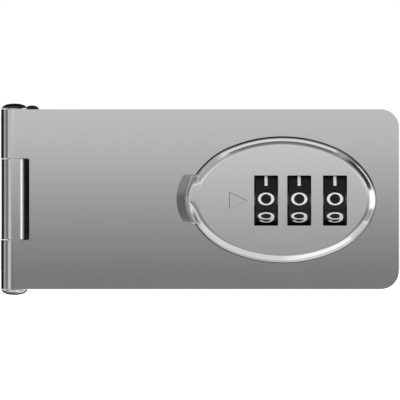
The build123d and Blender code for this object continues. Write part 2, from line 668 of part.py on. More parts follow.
def make_sleeve(x):
    """Gate sleeve: star with nine teeth and a gate, tube and two key lugs."""
    start, end = sleeve_span(x)
    tooth = Rectangle(STAR_RADIUS, TOOTH_WIDTH, align=(Align.MIN, Align.CENTER))
    star = Circle(STAR_ROOT_RADIUS)
    for step in range(1, DIAL_STEPS):
        star += Rot(0, 0, GATE_ANGLE + STEP_ANGLE * step) * tooth
    star = star & Circle(STAR_RADIUS)
    sleeve = extrude(dial_plane(start) * star, amount=STAR_THICKNESS)
    sleeve += turned(SLEEVE_RADIUS, start, end)
    lug = Rectangle(2 * LUG_KEY_RADIUS, LUG_KEY_WIDTH)
    lug_start = x - DIAL_WIDTH / 2 + (KEY_SLOT_DEPTH - LUG_KEY_LENGTH) / 2
    turn = Rot(0, 0, GATE_ANGLE)
    sleeve += extrude(dial_plane(lug_start) * turn * lug, amount=LUG_KEY_LENGTH)
    return sleeve - turned(SHAFT_RADIUS + RUNNING_CLEARANCE, start - CUT_MARGIN, end + CUT_MARGIN)


def make_sleeve_spacers():
    """Rings that fill the stack between neighbouring sleeves."""
    rings = []
    for left, right in zip(DIAL_XS, DIAL_XS[1:]):
        start = sleeve_span(left)[1] + STACK_GAP
        end = sleeve_span(right)[0] - STACK_GAP
        bore = turned(SHAFT_RADIUS + FIT, start - CUT_MARGIN, end + CUT_MARGIN)
        rings.append(turned(COLLAR_RADIUS, start, end) - bore)
    return Compound(rings)


def make_dial_shaft():
    """Shaft with a collar before the first sleeve and a groove for the fork."""
    shaft = turned(SHAFT_RADIUS, SHAFT_START, SHAFT_END)
    collar_end = FIRST_SLEEVE - STACK_GAP
    shaft += turned(COLLAR_RADIUS, collar_end - COLLAR_THICKNESS, collar_end)
    groove = Circle(2 * SHAFT_RADIUS) - Circle(FORK_GROOVE_RADIUS)
    return shaft - extrude(dial_plane(FORK_GROOVE_START) * groove, amount=FORK_GROOVE_WIDTH)


# Latch slide, tab and small parts

def make_latch_slide():
    """Cast slide: plate under the tab, latch leg and nose, bar and three fingers."""
    plate = block(LEG_X, SLIDE_PLATE_END, BAR_BOTTOM, SLIDE_PLATE_TOP, SLIDE_BACK, SLIDE_FRONT)
    finger_ends = [x - DIAL_WIDTH / 2 - SLIDE_CLEARANCE for x in DIAL_XS]
    bar_end = finger_ends[-1] + FINGER_THICKNESS
    bar = block(LEG_X, bar_end, BAR_BOTTOM, BAR_TOP, BAR_BACK, SLIDE_FRONT)
    room = slab(oval(-WALL, OVAL_X + SLIDE_TRAVEL + SLIDE_CLEARANCE), BAR_BACK, SLIDE_FRONT)
    slide = (plate + bar) & room
    leg_end = LEG_X + LEG_THICKNESS
    slide += block(LEG_X, leg_end, -LEG_HALF_HEIGHT, LEG_HALF_HEIGHT, LEG_BACK, SLIDE_FRONT)
    nose = block(
        LEG_X,
        leg_end + NOSE_LENGTH,
        -LEG_HALF_HEIGHT,
        LEG_HALF_HEIGHT,
        LEG_BACK,
        LEG_BACK + NOSE_HEIGHT,
    )
    tip_edge = nose.edges().filter_by(Axis.Z).group_by(Axis.X)[-1].sort_by(Axis.Y)[-1:]
    slide += chamfer(tip_edge, NOSE_BEVEL)
    tip_height = FINGER_SHOULDER_RADIUS + CUT_MARGIN - FINGER_TIP_RADIUS
    base_height = -BAR_TOP - FINGER_SHOULDER_RADIUS + BAR_THICKNESS / 2
    tip = Rectangle(FINGER_WIDTH, tip_height, align=(Align.CENTER, Align.MAX))
    base = Rectangle(FINGER_BASE_WIDTH, base_height, align=(Align.CENTER, Align.MAX))
    finger = Pos(0, -FINGER_TIP_RADIUS) * tip + Pos(0, -FINGER_SHOULDER_RADIUS) * base
    for end in finger_ends:
        slide += extrude(dial_plane(end - FINGER_THICKNESS) * finger, amount=FINGER_THICKNESS)
    slide += block(
        SPRING_LUG_START,
        SPRING_LUG_START + SPRING_LUG_THICKNESS,
        BAR_BOTTOM - SPRING_LUG_HEIGHT,
        BAR_TOP,
        SLIDE_SPRING_DEPTH - FINGER_BASE_WIDTH / 2,
        SLIDE_SPRING_DEPTH + FINGER_BASE_WIDTH / 2,
    )
    for z in (-TAB_RIVET_Z, TAB_RIVET_Z):
        slide -= round_bar(
            RIVET_RADIUS + FIT, SLIDE_BACK - CUT_MARGIN, SLIDE_FRONT + CUT_MARGIN, TAB_RIVET_X, z
        )
    return slide


def make_release_tab():
    """Finger tab over the oval's end, with two grip grooves and a tongue."""
    left = OVAL_LEFT - TAB_REACH
    half = TAB_HALF_HEIGHT
    tab = slab(Pos(left + TAB_ARC_RADIUS, 0) * Circle(TAB_ARC_RADIUS), TAB_BACK, TAB_FRONT)
    tab &= block(
        left - CUT_MARGIN, NOTCH_END - SLIDE_CLEARANCE / 2, -half, half, TAB_BACK, TAB_FRONT
    )
    tab = chamfer(tab.edges().group_by(Axis.Y)[0], TAB_EDGE)
    for offset in GRIP_OFFSETS:
        ring = oval(offset + GRIP_WIDTH / 2) - oval(offset - GRIP_WIDTH / 2)
        tab -= slab(ring, TAB_FRONT - GRIP_DEPTH, TAB_FRONT + CUT_MARGIN)
    tongue_half = TONGUE_HALF_HEIGHT
    tongue_front = SLIDE_FRONT + TONGUE_THICKNESS
    tongue = block(OVAL_LEFT, TONGUE_END, -tongue_half, tongue_half, SLIDE_FRONT, tongue_front)
    for z in (-TAB_RIVET_Z, TAB_RIVET_Z):
        tongue -= round_bar(
            RIVET_RADIUS + FIT, SLIDE_FRONT - CUT_MARGIN, FACE_FRONT, TAB_RIVET_X, z
        )
    return tab + tongue


def make_tab_rivets():
    """Two rivets through the slide's plate and the tab's tongue."""
    head_back = SLIDE_BACK - RIVET_HEAD_HEIGHT
    rivets = []
    for z in (-TAB_RIVET_Z, TAB_RIVET_Z):
        shank = round_bar(RIVET_RADIUS, SLIDE_BACK, SLIDE_FRONT + TONGUE_THICKNESS, TAB_RIVET_X, z)
        rivets.append(shank + round_bar(RIVET_HEAD_RADIUS, head_back, SLIDE_BACK, TAB_RIVET_X, z))
    return Compound(rivets)


def make_slide_spring():
    """Return spring between a case boss and the lug on the slide's bar."""
    return spring(
        SLIDE_SPRING_RADIUS,
        SLIDE_SPRING_WIRE,
        SLIDE_SPRING_TURNS,
        SPRING_SEAT_SCREW[0] + BOSS_RADIUS + SPRING_SEAT_GAP,
        SPRING_LUG_START - SPRING_SEAT_GAP,
        SLIDE_SPRING_DEPTH,
        BAR_BOTTOM - SLIDE_CLEARANCE - SLIDE_SPRING_RADIUS - SLIDE_SPRING_WIRE,
    )


def detent_rivet_places():
    """Rivets stand midway between neighbouring dials, in the middle of the strip."""
    z = DETENT_STRIP_BOTTOM + DETENT_STRIP_HEIGHT / 2
    return [((left + right) / 2, z) for left, right in zip(DIAL_XS, DIAL_XS[1:])]


def make_detent_spring():
    """Stamped leaf spring: a strip and three fingers bent up at a dial flute."""
    back = COVER_FRONT
    front = back + DETENT_THICKNESS
    spring_leaf = block(
        DIAL_XS[0] - DETENT_STRIP_MARGIN,
        DIAL_XS[-1] + DETENT_STRIP_MARGIN,
        DETENT_STRIP_BOTTOM,
        DETENT_STRIP_BOTTOM + DETENT_STRIP_HEIGHT,
        back,
        front,
    )
    tip_z = DIAL_RADIUS * sin(radians(STEP_ANGLE / 2))
    tip_depth = DIAL_DEPTH - sqrt((DIAL_RADIUS + DETENT_TIP_GAP) ** 2 - tip_z**2)
    points = [
        (DIAL_DEPTH - back, DETENT_STRIP_BOTTOM),
        (DIAL_DEPTH - front, DETENT_STRIP_BOTTOM),
        (DIAL_DEPTH - front, tip_z + DETENT_TIP_HALF),
        (DIAL_DEPTH - tip_depth, tip_z),
        (DIAL_DEPTH - front, tip_z - DETENT_TIP_HALF),
        (DIAL_DEPTH - back, tip_z - DETENT_TIP_HALF),
        (DIAL_DEPTH - tip_depth + DETENT_THICKNESS, tip_z),
        (DIAL_DEPTH - back, tip_z + DETENT_TIP_HALF),
    ]
    finger = make_face(Polyline(points, close=True))
    for x in DIAL_XS:
        finger_plane = dial_plane(x - DETENT_FINGER_WIDTH / 2)
        spring_leaf += extrude(finger_plane * finger, amount=DETENT_FINGER_WIDTH)
    for x, z in detent_rivet_places():
        spring_leaf -= round_bar(DETENT_RIVET_RADIUS + FIT, 0, front + CUT_MARGIN, x, z)
    return spring_leaf


def make_detent_rivets():
    """Two rivets that hold the detent spring to the cover."""
    rivets = []
    front = COVER_FRONT + DETENT_THICKNESS
    for x, z in detent_rivet_places():
        rivet = round_bar(DETENT_RIVET_RADIUS, COVER_BACK, front, x, z)
        head = round_bar(DETENT_RIVET_HEAD_RADIUS, front, front + DETENT_RIVET_HEAD_HEIGHT, x, z)
        rivets.append(rivet + head)
    return Compound(rivets)


def make_reset_slide():
    """Fork in the shaft's groove, with a foot and a knob in the cover's slot."""
    start = FORK_GROOVE_START + (FORK_GROOVE_WIDTH - FORK_THICKNESS) / 2
    end = start + FORK_THICKNESS
    half = FORK_HALF_HEIGHT
    back = COVER_FRONT + SLIDE_CLEARANCE
    fork_front = DIAL_DEPTH + FORK_ARM
    slide = block(start, end, -half, half, back, fork_front)
    seat = FORK_GROOVE_RADIUS + RUNNING_CLEARANCE
    cut = (start - CUT_MARGIN, end + CUT_MARGIN)
    slide -= turned(seat, *cut)
    slide -= block(*cut, -seat, seat, DIAL_DEPTH, fork_front + CUT_MARGIN)
    slide += block(FOOT_START, end, -half, half, back, back + FOOT_THICKNESS)
    knob_half = KNOB_HALF_HEIGHT
    slide += block(KNOB_START, KNOB_START + KNOB_LENGTH, -knob_half, knob_half, COVER_BACK, back)
    pen_x = KNOB_START + KNOB_LENGTH / 2
    return slide - round_bar(KNOB_PEN_RADIUS, 0, COVER_BACK + KNOB_PEN_DEPTH, pen_x, 0)


def make_shaft_spring():
    """Spring on the shaft between the right bulkhead and the fork."""
    return spring(
        SHAFT_SPRING_RADIUS,
        SHAFT_SPRING_WIRE,
        SHAFT_SPRING_TURNS,
        RIGHT_BULKHEAD + BULKHEAD_THICKNESS + SPRING_SEAT_GAP,
        FORK_GROOVE_START - SPRING_SEAT_GAP / 2,
        DIAL_DEPTH,
        0,
    )


parts = {
    "hasp_plate": make_hasp_plate(),
    "fixed_leaf": make_fixed_leaf(),
    "hinge_pin": make_hinge_pin(),
    "pin_cap": make_pin_cap(),
    "ear_pin": make_ear_pin(),
    "lock_case": make_lock_case(),
    "back_cover": make_back_cover(),
    "cover_screws": make_cover_screws(),
    "stud_nuts": make_stud_nuts(),
    "sleeve_spacers": make_sleeve_spacers(),
    "dial_shaft": make_dial_shaft(),
    "latch_slide": make_latch_slide(),
    "release_tab": make_release_tab(),
    "tab_rivets": make_tab_rivets(),
    "slide_spring": make_slide_spring(),
    "detent_spring": make_detent_spring(),
    "detent_rivets": make_detent_rivets(),
    "reset_slide": make_reset_slide(),
    "shaft_spring": make_shaft_spring(),
}
for number, place in enumerate(DIAL_XS, start=1):
    parts[f"dial_{number}"] = make_dial(place)
    parts[f"sleeve_{number}"] = make_sleeve(place)

os.makedirs("parts", exist_ok=True)
for name, shape in parts.items():
    export_step(shape, f"parts/{name}.step")
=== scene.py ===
"""Looks of a combination cabinet lock: a hinged hasp plate with three number wheels.

Everything is in metres in the CAD frame: X runs along the plate, Z is up and the front
faces -Y. Sizes inside the classes are millimetres and are turned into metres once.
"""

import logging
from dataclasses import dataclass, field
from enum import Enum
from math import acos, atan2, cos, degrees, hypot, pi, radians, sin, sqrt
from typing import Callable, Sequence

import bmesh
import bpy
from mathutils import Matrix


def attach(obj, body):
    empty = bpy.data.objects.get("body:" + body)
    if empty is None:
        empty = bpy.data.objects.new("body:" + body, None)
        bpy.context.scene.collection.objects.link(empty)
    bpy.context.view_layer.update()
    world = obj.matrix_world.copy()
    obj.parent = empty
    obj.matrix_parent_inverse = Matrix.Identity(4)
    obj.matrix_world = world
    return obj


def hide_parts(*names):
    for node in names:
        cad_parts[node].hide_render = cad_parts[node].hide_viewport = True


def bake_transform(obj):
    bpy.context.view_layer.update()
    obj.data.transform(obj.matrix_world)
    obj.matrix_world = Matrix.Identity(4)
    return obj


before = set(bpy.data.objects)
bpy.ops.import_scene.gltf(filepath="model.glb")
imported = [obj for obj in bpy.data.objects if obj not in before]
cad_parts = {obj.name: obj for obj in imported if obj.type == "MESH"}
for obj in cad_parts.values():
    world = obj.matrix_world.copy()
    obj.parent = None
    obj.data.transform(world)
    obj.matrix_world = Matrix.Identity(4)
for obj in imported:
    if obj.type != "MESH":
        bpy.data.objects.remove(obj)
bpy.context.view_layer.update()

log = logging.getLogger("cabinet_lock")

MM = 0.001
MERGE_DISTANCE = 1e-7  # metres
CLEAN_DISTANCE = 1e-6  # metres
NEAR = 0.01  # millimetres, for faces at a known place
FACING = 0.95  # share of a face's normal along an axis that it looks along
SHARP_ANGLE = radians(32)
CORNER_STEPS = 16
WHITE = (1.0, 1.0, 1.0, 1.0)
Socket = bpy.types.NodeSocket
Object = bpy.types.Object
Material = bpy.types.Material
Pair = tuple[float, float]
Triple = tuple[float, float, float]
Face = Sequence[int]


class Body(Enum):
    """Moving bodies of the frame that a piece can ride on."""

    BASE = "base"
    HASP = "hasp"
    RELEASE = "release"
    SHAFT = "shaft"


class Join(Enum):
    """Ways to join two solids."""

    CUT = "DIFFERENCE"
    ADD = "UNION"
    KEEP = "INTERSECT"


# Meshes


def add_object(name: str, data: bpy.types.ID) -> Object:
    """Add an object to the scene.

    Args:
        name: Name of the object.
        data: Its mesh, light or camera.

    Returns:
        The new object, at the origin.
    """
    obj = bpy.data.objects.new(name, data)
    bpy.context.scene.collection.objects.link(obj)
    return obj


def add_mesh(name: str, vertices: Sequence[Triple], faces: Sequence[Face]) -> Object:
    """Add a mesh object, with its faces as they are given.

    Args:
        name: Name of the object.
        vertices: Places in metres.
        faces: Corners of each face.

    Returns:
        The new object, at the origin.
    """
    mesh = bpy.data.meshes.new(name)
    mesh.from_pydata(vertices, [], faces)
    return add_object(name, mesh)


def closed_mesh(name: str, vertices: Sequence[Triple], faces: Sequence[Face]) -> Object:
    """Add a mesh object whose faces all point outwards.

    Args:
        name: Name of the piece.
        vertices: Places in metres.
        faces: Corners of each face.

    Returns:
        The new object, at the origin.
    """
    obj = add_mesh(name, vertices, faces)
    work = bmesh.new()
    work.from_mesh(obj.data)
    bmesh.ops.remove_doubles(work, verts=work.verts, dist=MERGE_DISTANCE)
    bmesh.ops.recalc_face_normals(work, faces=work.faces)
    work.to_mesh(obj.data)
    work.free()
    return obj


def loft(name: str, rings: Sequence[Sequence[Triple]]) -> Object:
    """Join rings of equal length by bands of faces, and cap both ends.

    Args:
        name: Name of the piece.
        rings: Rings of places in metres, from one end to the other.

    Returns:
        A closed mesh object.
    """
    count = len(rings[0])
    last = (len(rings) - 1) * count
    vertices = [place for ring in rings for place in ring]
    faces: list[Face] = []
    for low in range(0, last, count):
        for i in range(count):
            j = (i + 1) % count
            faces.append((low + i, low + j, low + count + j, low + count + i))
    faces += [tuple(range(count)), tuple(range(last, last + count))]
    return closed_mesh(name, vertices, faces)


def in_plan(x: float, depth: float, z: float) -> Triple:
    """Turn a place in millimetres, with its depth in front of the cabinet, into metres."""
    return (x * MM, -depth * MM, z * MM)


def prism_along_z(name: str, outline: Sequence[Pair], low: float, high: float) -> Object:
    """Extrude an outline of (x, depth) pairs along Z, all in millimetres."""
    return loft(name, [[in_plan(x, depth, z) for x, depth in outline] for z in (low, high)])


def prism_to_front(name: str, outline: Sequence[Pair], back: float, front: float) -> Object:
    """Extrude an outline of (x, z) pairs from one depth to another, in millimetres."""
    return loft(name, [[in_plan(x, depth, z) for x, z in outline] for depth in (back, front)])


def prism_along_x(name: str, outline: Sequence[Pair], low: float, high: float) -> Object:
    """Extrude an outline of (depth, z) pairs along X, in millimetres."""
    return loft(name, [[in_plan(x, depth, z) for depth, z in outline] for x in (low, high)])


def arc(centre: Pair, radius: float, start: float, end: float, steps: int) -> list[Pair]:
    """Points on an arc, both ends included; angles are in degrees."""
    turns = [radians(start + (end - start) * step / steps) for step in range(steps + 1)]
    return [(centre[0] + radius * cos(turn), centre[1] + radius * sin(turn)) for turn in turns]


def circle(centre: Pair, radius: float, steps: int = 64) -> list[Pair]:
    """Points on a full circle, the last one left out."""
    return arc(centre, radius, 0.0, 360.0, steps)[:-1]


def rectangle(x0: float, x1: float, z0: float, z1: float, corner: float = 0.0) -> list[Pair]:
    """Outline of a rectangle.

    Args:
        x0: Its left side.
        x1: Its right side.
        z0: Its lower side.
        z1: Its upper side.
        corner: Radius of its corners; 0 leaves them sharp.

    Returns:
        Points of (x, z), anticlockwise from the lower side.
    """
    if not corner:
        return [(x0, z0), (x1, z0), (x1, z1), (x0, z1)]
    left, right, low, high = x0 + corner, x1 - corner, z0 + corner, z1 - corner
    outline: list[Pair] = []
    for turn, centre in enumerate(((right, low), (right, high), (left, high), (left, low))):
        outline += arc(centre, corner, 90 * turn - 90, 90 * turn, CORNER_STEPS)
    return outline


def bake_modifiers(obj: Object) -> None:
    """Put the object's modifiers into its mesh and remove them.

    Args:
        obj: The object.
    """
    graph = bpy.context.evaluated_depsgraph_get()
    mesh = bpy.data.meshes.new_from_object(obj.evaluated_get(graph), depsgraph=graph)
    obj.modifiers.clear()
    obj.data = mesh
    mesh.name = obj.name


def combine(obj: Object, way: Join, *tools: Object) -> None:
    """Join other shapes to a piece one after another, and remove them.

    Args:
        obj: The piece that changes.
        way: How they are joined.
        *tools: The other shapes.
    """
    for tool in tools:
        modifier = obj.modifiers.new("combine", "BOOLEAN")
        modifier.operation = way.value
        modifier.solver = "EXACT"
        modifier.object = tool
        bake_modifiers(obj)
        bpy.data.objects.remove(tool)


def soften(obj: Object, width: float, segments: int = 2, angle: float = SHARP_ANGLE) -> None:
    """Round the sharp edges of a piece and shade it smooth between them.

    Args:
        obj: The piece.
        width: Width of the rounding in millimetres; 0 leaves the edges sharp.
        segments: Steps across the rounding.
        angle: Edges that turn by more than this are sharp.
    """
    work = bmesh.new()
    work.from_mesh(obj.data)
    bmesh.ops.remove_doubles(work, verts=work.verts, dist=CLEAN_DISTANCE)
    bmesh.ops.dissolve_degenerate(work, edges=work.edges, dist=CLEAN_DISTANCE)
    work.to_mesh(obj.data)
    work.free()
    if width:
        modifier = obj.modifiers.new("edges", "BEVEL")
        modifier.width = width * MM
        modifier.segments = segments
        modifier.limit_method = "ANGLE"
        modifier.angle_limit = angle
        modifier.harden_normals = False
        modifier.use_clamp_overlap = True
        bake_modifiers(obj)
    obj.data.shade_smooth()
    obj.data.set_sharp_from_angle(angle=angle)
    if width:
        modifier = obj.modifiers.new("normals", "WEIGHTED_NORMAL")
        modifier.keep_sharp = True
        bake_modifiers(obj)


# Shader maths


class Signal:
    """Output socket of a node, with the usual arithmetic."""

    def __init__(self, tree: bpy.types.NodeTree, socket: Socket) -> None:
        """Wrap one output socket of a tree."""
        self.tree = tree
        self.socket = socket

    def _math(self, operation: str, *values: "Signal | float") -> "Signal":
        """Run one Math node.

        Args:
            operation: Name of the sum to do.
            *values: Its values, in order.

        Returns:
            The result.
        """
        tree = Tree(self.tree)
        node = tree.node("ShaderNodeMath", {"operation": operation})
        for socket, value in zip(node.inputs, values):
            tree.put(socket, value)
        return tree.signal(node, "Value")

    def __add__(self, other: "Signal | float") -> "Signal":
        """Sum."""
        return self._math("ADD", self, other)

    def __sub__(self, other: "Signal | float") -> "Signal":
        """Difference."""
        return self._math("SUBTRACT", self, other)

    def __mul__(self, other: "Signal | float") -> "Signal":
        """Product."""
        return self._math("MULTIPLY", self, other)

    def __radd__(self, other: float) -> "Signal":
        """Sum with a number in front."""
        return self._math("ADD", other, self)

    def __rsub__(self, other: float) -> "Signal":
        """Difference with a number in front."""
        return self._math("SUBTRACT", other, self)

    def __rmul__(self, other: float) -> "Signal":
        """Product with a number in front."""
        return self._math("MULTIPLY", other, self)

    def ramp(self, low: float, high: float) -> "Signal":
        """Run a smooth step.

        Args:
            low: Value at which the result is 0.
            high: Value at which it is 1.

        Returns:
            The result.
        """
        tree = Tree(self.tree)
        settings = {"interpolation_type": "SMOOTHSTEP"}
        node = tree.node("ShaderNodeMapRange", settings, Value=self, From_Min=low, From_Max=high)
        return tree.signal(node, "Result")


class Tree:
    """Node tree of a material, a world or a pattern, built node by node."""

    def __init__(self, tree: bpy.types.NodeTree) -> None:
        """Take a tree to build on."""
        self.tree = tree

    def put(self, socket: Socket, value: object) -> None:
        """Link values to an input, or set the input's own value.

        Args:
            socket: The input.
            value: A signal or an output, a list of them, or a plain value.
        """
        for one in value if isinstance(value, list) else [value]:
            if isinstance(one, Signal):
                self.tree.links.new(one.socket, socket)
            elif isinstance(one, Socket):
                self.tree.links.new(one, socket)
            else:
                socket.default_value = one

    def node(self, kind: str, settings: dict | None = None, **sockets: object) -> bpy.types.Node:
        """Add a node.

        Args:
            kind: Blender's name for the node type.
            settings: Properties of the node, set before its sockets.
            **sockets: What to put on its inputs, by their names with _ for a space.

        Returns:
            The new node.
        """
        node = self.tree.nodes.new(kind)
        for key, value in (settings or {}).items():
            setattr(node, key, value)
        for key, value in sockets.items():
            self.put(node.inputs[key.replace("_", " ")], value)
        return node

    def signal(self, node: bpy.types.Node, output: str) -> Signal:
        """Wrap one output of a node."""
        return Signal(self.tree, node.outputs[output])


class Graph(Tree):
    """Node tree of one material."""

    def __init__(self, name: str) -> None:
        """Start an empty material with a Principled shader.

        Args:
            name: Name of the material.
        """
        self.material = bpy.data.materials.new(name)
        self.material.use_nodes = True
        super().__init__(self.material.node_tree)
        self.tree.nodes.clear()
        self.output = self.node("ShaderNodeOutputMaterial")
        self.shader = self.node("ShaderNodeBsdfPrincipled")
        self.put(self.output.inputs["Surface"], self.shader.outputs["BSDF"])

    def shade(self, **sockets: object) -> None:
        """Put values on the shader's inputs.

        Args:
            **sockets: The values, by the inputs' names with _ for a space.
        """
        for key, value in sockets.items():
            self.put(self.shader.inputs[key.replace("_", " ")], value)

    def noise(self, scale: float, detail: float, stretch: Triple = (1.0, 1.0, 1.0)) -> Signal:
        """Noise of about 0 to 1 on object coordinates, which stay with the piece.

        Args:
            scale: Features per metre.
            detail: Octaves.
            stretch: Factors on each axis; a small one draws the noise out along it.

        Returns:
            The noise value.
        """
        place = self.signal(self.node("ShaderNodeTexCoord"), "Object")
        mapping = self.node("ShaderNodeMapping", None, Vector=place, Scale=stretch)
        vector = self.signal(mapping, "Vector")
        noise = self.node("ShaderNodeTexNoise", None, Vector=vector, Scale=scale, Detail=detail)
        return self.signal(noise, "Fac")

    def tint(self, dark: Triple, light: Triple, share: Signal) -> Socket:
        """Mix two colours.

        Args:
            dark: Colour at a share of 0.
            light: Colour at a share of 1.
            share: The share.

        Returns:
            The mixed colour.
        """
        mix = self.node("ShaderNodeMix", {"data_type": "RGBA"}, Factor=share)
        for socket, colour in zip(mix.inputs[6:8], (dark, light)):
            socket.default_value = (*colour, 1.0)
        return mix.outputs[2]

    def bump(self, height: Signal, distance: float) -> None:
        """Push the surface in or out.

        Args:
            height: How far, from 0 to 1.
            distance: The full height, in metres.
        """
        node = self.node("ShaderNodeBump", None, Height=height, Distance=distance, Strength=1.0)
        self.shade(Normal=node.outputs["Normal"])

    def mixed(self, share: Signal, first: bpy.types.Node, second: bpy.types.Node) -> None:
        """End the material with a mix of two shaders.

        Args:
            share: Share of the second one.
            first: The first shader.
            second: The second shader.
        """
        mix = self.node("ShaderNodeMixShader", None, Fac=share)
        self.put(mix.inputs[1], first.outputs[0])
        self.put(mix.inputs[2], second.outputs[0])
        self.put(self.output.inputs["Surface"], mix.outputs[0])


# Geometry Nodes


class Pattern(Tree):
    """Geometry Nodes tree that repeats a shape or sweeps one along a path."""

    def __init__(self, name: str, sizes: Sequence[str]) -> None:
        """Start a tree with one named input for each size, and one for the material.

        Args:
            name: Name of the tree.
            sizes: Names of its size inputs.
        """
        super().__init__(bpy.data.node_groups.new(name, "GeometryNodeTree"))
        kinds = {"Geometry": "Geometry", **dict.fromkeys(sizes, "Float"), "Finish": "Material"}
        interface = self.tree.interface
        for title, kind in kinds.items():
            interface.new_socket(title, in_out="INPUT", socket_type=f"NodeSocket{kind}")
        interface.new_socket("Geometry", in_out="OUTPUT", socket_type="NodeSocketGeometry")
        self.given = self.node("NodeGroupInput").outputs
        self.sizes = [Signal(self.tree, self.given[size]) for size in sizes]

    def run(self, kind: str, settings: dict | None = None, **sockets: object) -> Socket:
        """Add a node as node() does, and return its first output."""
        return self.node(kind, settings, **sockets).outputs[0]

    def vector(self, x: Signal | float, y: Signal | float, z: Signal | float) -> Socket:
        """Vector from three values."""
        return self.run("ShaderNodeCombineXYZ", None, X=x, Y=y, Z=z)

    def facing(self, mesh: Socket, depth: Signal | float = 0.0) -> Socket:
        """Turn a mesh's axis from Z to the front.

        Args:
            mesh: The mesh.
            depth: How far its middle then goes to the front.

        Returns:
            The turned mesh.
        """
        place = self.vector(0.0, 0.0 - depth, 0.0)
        turned = {"Translation": place, "Rotation": (pi / 2, 0, 0)}
        return self.run("GeometryNodeTransform", None, Geometry=mesh, **turned)

    def bar(self, radius: Signal, length: Signal, back: Signal | float, sides: int) -> Socket:
        """Straight bar whose axis points to the front.

        Args:
            radius: Its radius, or that of its corners.
            length: Its length.
            back: Distance of its back end in front of the place it is set on.
            sides: Number of its sides.

        Returns:
            Its mesh.
        """
        sizes = {"Vertices": sides, "Radius": radius, "Depth": length}
        return self.facing(self.run("GeometryNodeMeshCylinder", None, **sizes), length * 0.5 + back)

    def cone(self, low: Signal, high: Signal, length: Signal, sides: int) -> Socket:
        """Cone or taper whose axis points to the front, about the place it is set on.

        Args:
            low: Radius of its end at the front.
            high: Radius of its other end.
            length: Its length.
            sides: Number of its sides.

        Returns:
            Its mesh.
        """
        sizes = {"Vertices": sides, "Radius_Bottom": low, "Radius_Top": high, "Depth": length}
        return self.facing(self.run("GeometryNodeMeshCone", None, **sizes))

    def joined(self, way: Join, first: Socket, second: Socket) -> Socket:
        """Join two meshes by an exact boolean.

        Args:
            way: How they are joined.
            first: The mesh that something is cut from or added to.
            second: The other mesh.

        Returns:
            The joined mesh.
        """
        settings = {"operation": way.value, "solver": "EXACT"}
        meshes = {"Mesh_1": first, "Mesh_2": second} if way is Join.CUT else {"Mesh_2": [first, second]}
        return self.run("GeometryNodeMeshBoolean", settings, **meshes)

    def close(self, shape: Socket) -> None:
        """End the tree: the shape at each place, as real meshes with their material.

        Args:
            shape: The shape that is repeated.
        """
        places = {"Points": self.given["Geometry"], "Instance": shape}
        repeated = self.run("GeometryNodeInstanceOnPoints", None, **places)
        real = self.run("GeometryNodeRealizeInstances", None, Geometry=repeated)
        finish = {"Geometry": real, "Material": self.given["Finish"]}
        dressed = self.run("GeometryNodeSetMaterial", None, **finish)
        self.node("NodeGroupOutput", None, Geometry=dressed)

    def make(
        self, name: str, places: Sequence[Triple], finish: Material, sizes: dict[str, float]
    ) -> Object:
        """Run the tree at some places and keep the result as a plain mesh.

        Args:
            name: Name of the piece.
            places: Where the tree repeats its shape, in metres.
            finish: Its material.
            sizes: Value of each size input, in metres or as a number.

        Returns:
            The finished piece, without its modifier.
        """
        piece = add_mesh(name, places, [])
        modifier = piece.modifiers.new("pattern", "NODES")
        modifier.node_group = self.tree
        values = {**sizes, "Finish": finish}
        for item in self.tree.interface.items_tree:
            if item.in_out == "INPUT" and item.name in values:
                modifier[item.identifier] = values[item.name]
        piece.update_tag()
        bake_modifiers(piece)
        return piece


# Finishes


@dataclass(frozen=True)
class MetalFinish:
    """Bare or plated metal with a fine grain, a soft mottle and a slight uneven sheen."""

    name: str
    grey: float
    roughness: float
    warmth: float = 0.0
    mottle: float = 0.04
    roughness_spread: float = 0.05
    grain_scale: float = 2600.0
    grain_stretch: Triple = (1.0, 1.0, 1.0)
    grain_depth: float = 0.0
    metallic: float = 1.0
    broad_scale: float = 42.0
    broad_share: float = 0.6

    def colour(self, share: float) -> Triple:
        """Base colour.

        Args:
            share: Brightness as a share of the finish's own, around 1.

        Returns:
            The colour.
        """
        level = self.grey * share
        red, blue = level * (1 + self.warmth), level * (1 - self.warmth * 1.6)
        return (min(red, 1.0), level, max(blue, 0.0))

    def build(self) -> Material:
        """Make the material.

        Returns:
            The material.
        """
        graph = Graph(self.name)
        broad = graph.noise(self.broad_scale, 3.0)
        grain = graph.noise(self.grain_scale, 2.0, self.grain_stretch)
        colours = (self.colour(1 - self.mottle), self.colour(1 + self.mottle))
        spread = self.roughness_spread
        sheen = self.roughness + (grain - 0.5) * spread + (broad - 0.5) * (spread * self.broad_share)
        graph.shade(Base_Color=graph.tint(*colours, broad), Metallic=self.metallic, Roughness=sheen)
        if self.grain_depth:
            graph.bump(grain, self.grain_depth * MM)
        return graph.material


@dataclass(frozen=True)
class PlasticFinish:
    """Moulded or painted surface with a faint texture."""

    name: str
    dark: Triple
    light: Triple
    roughness: float
    broad_scale: float = 120.0
    texture_scale: float = 1800.0
    texture_depth: float = 0.004
    roughness_spread: float = 0.12
    specular: float = 0.5

    def build(self) -> Material:
        """Make the material.

        Returns:
            The material.
        """
        graph = Graph(self.name)
        fine = graph.noise(self.texture_scale, 2.0)
        colour = graph.tint(self.dark, self.light, graph.noise(self.broad_scale, 2.0))
        sheen = self.roughness + (fine - 0.5) * self.roughness_spread
        graph.shade(Base_Color=colour, Roughness=sheen, Specular_IOR_Level=self.specular)
        graph.bump(fine, self.texture_depth * MM)
        return graph.material


def polished(name: str, grey: float, roughness: float, mottle: float = 0.01) -> Material:
    """Metal with a more even sheen than the rest."""
    return MetalFinish(name, grey, roughness, mottle=mottle, roughness_spread=0.03).build()


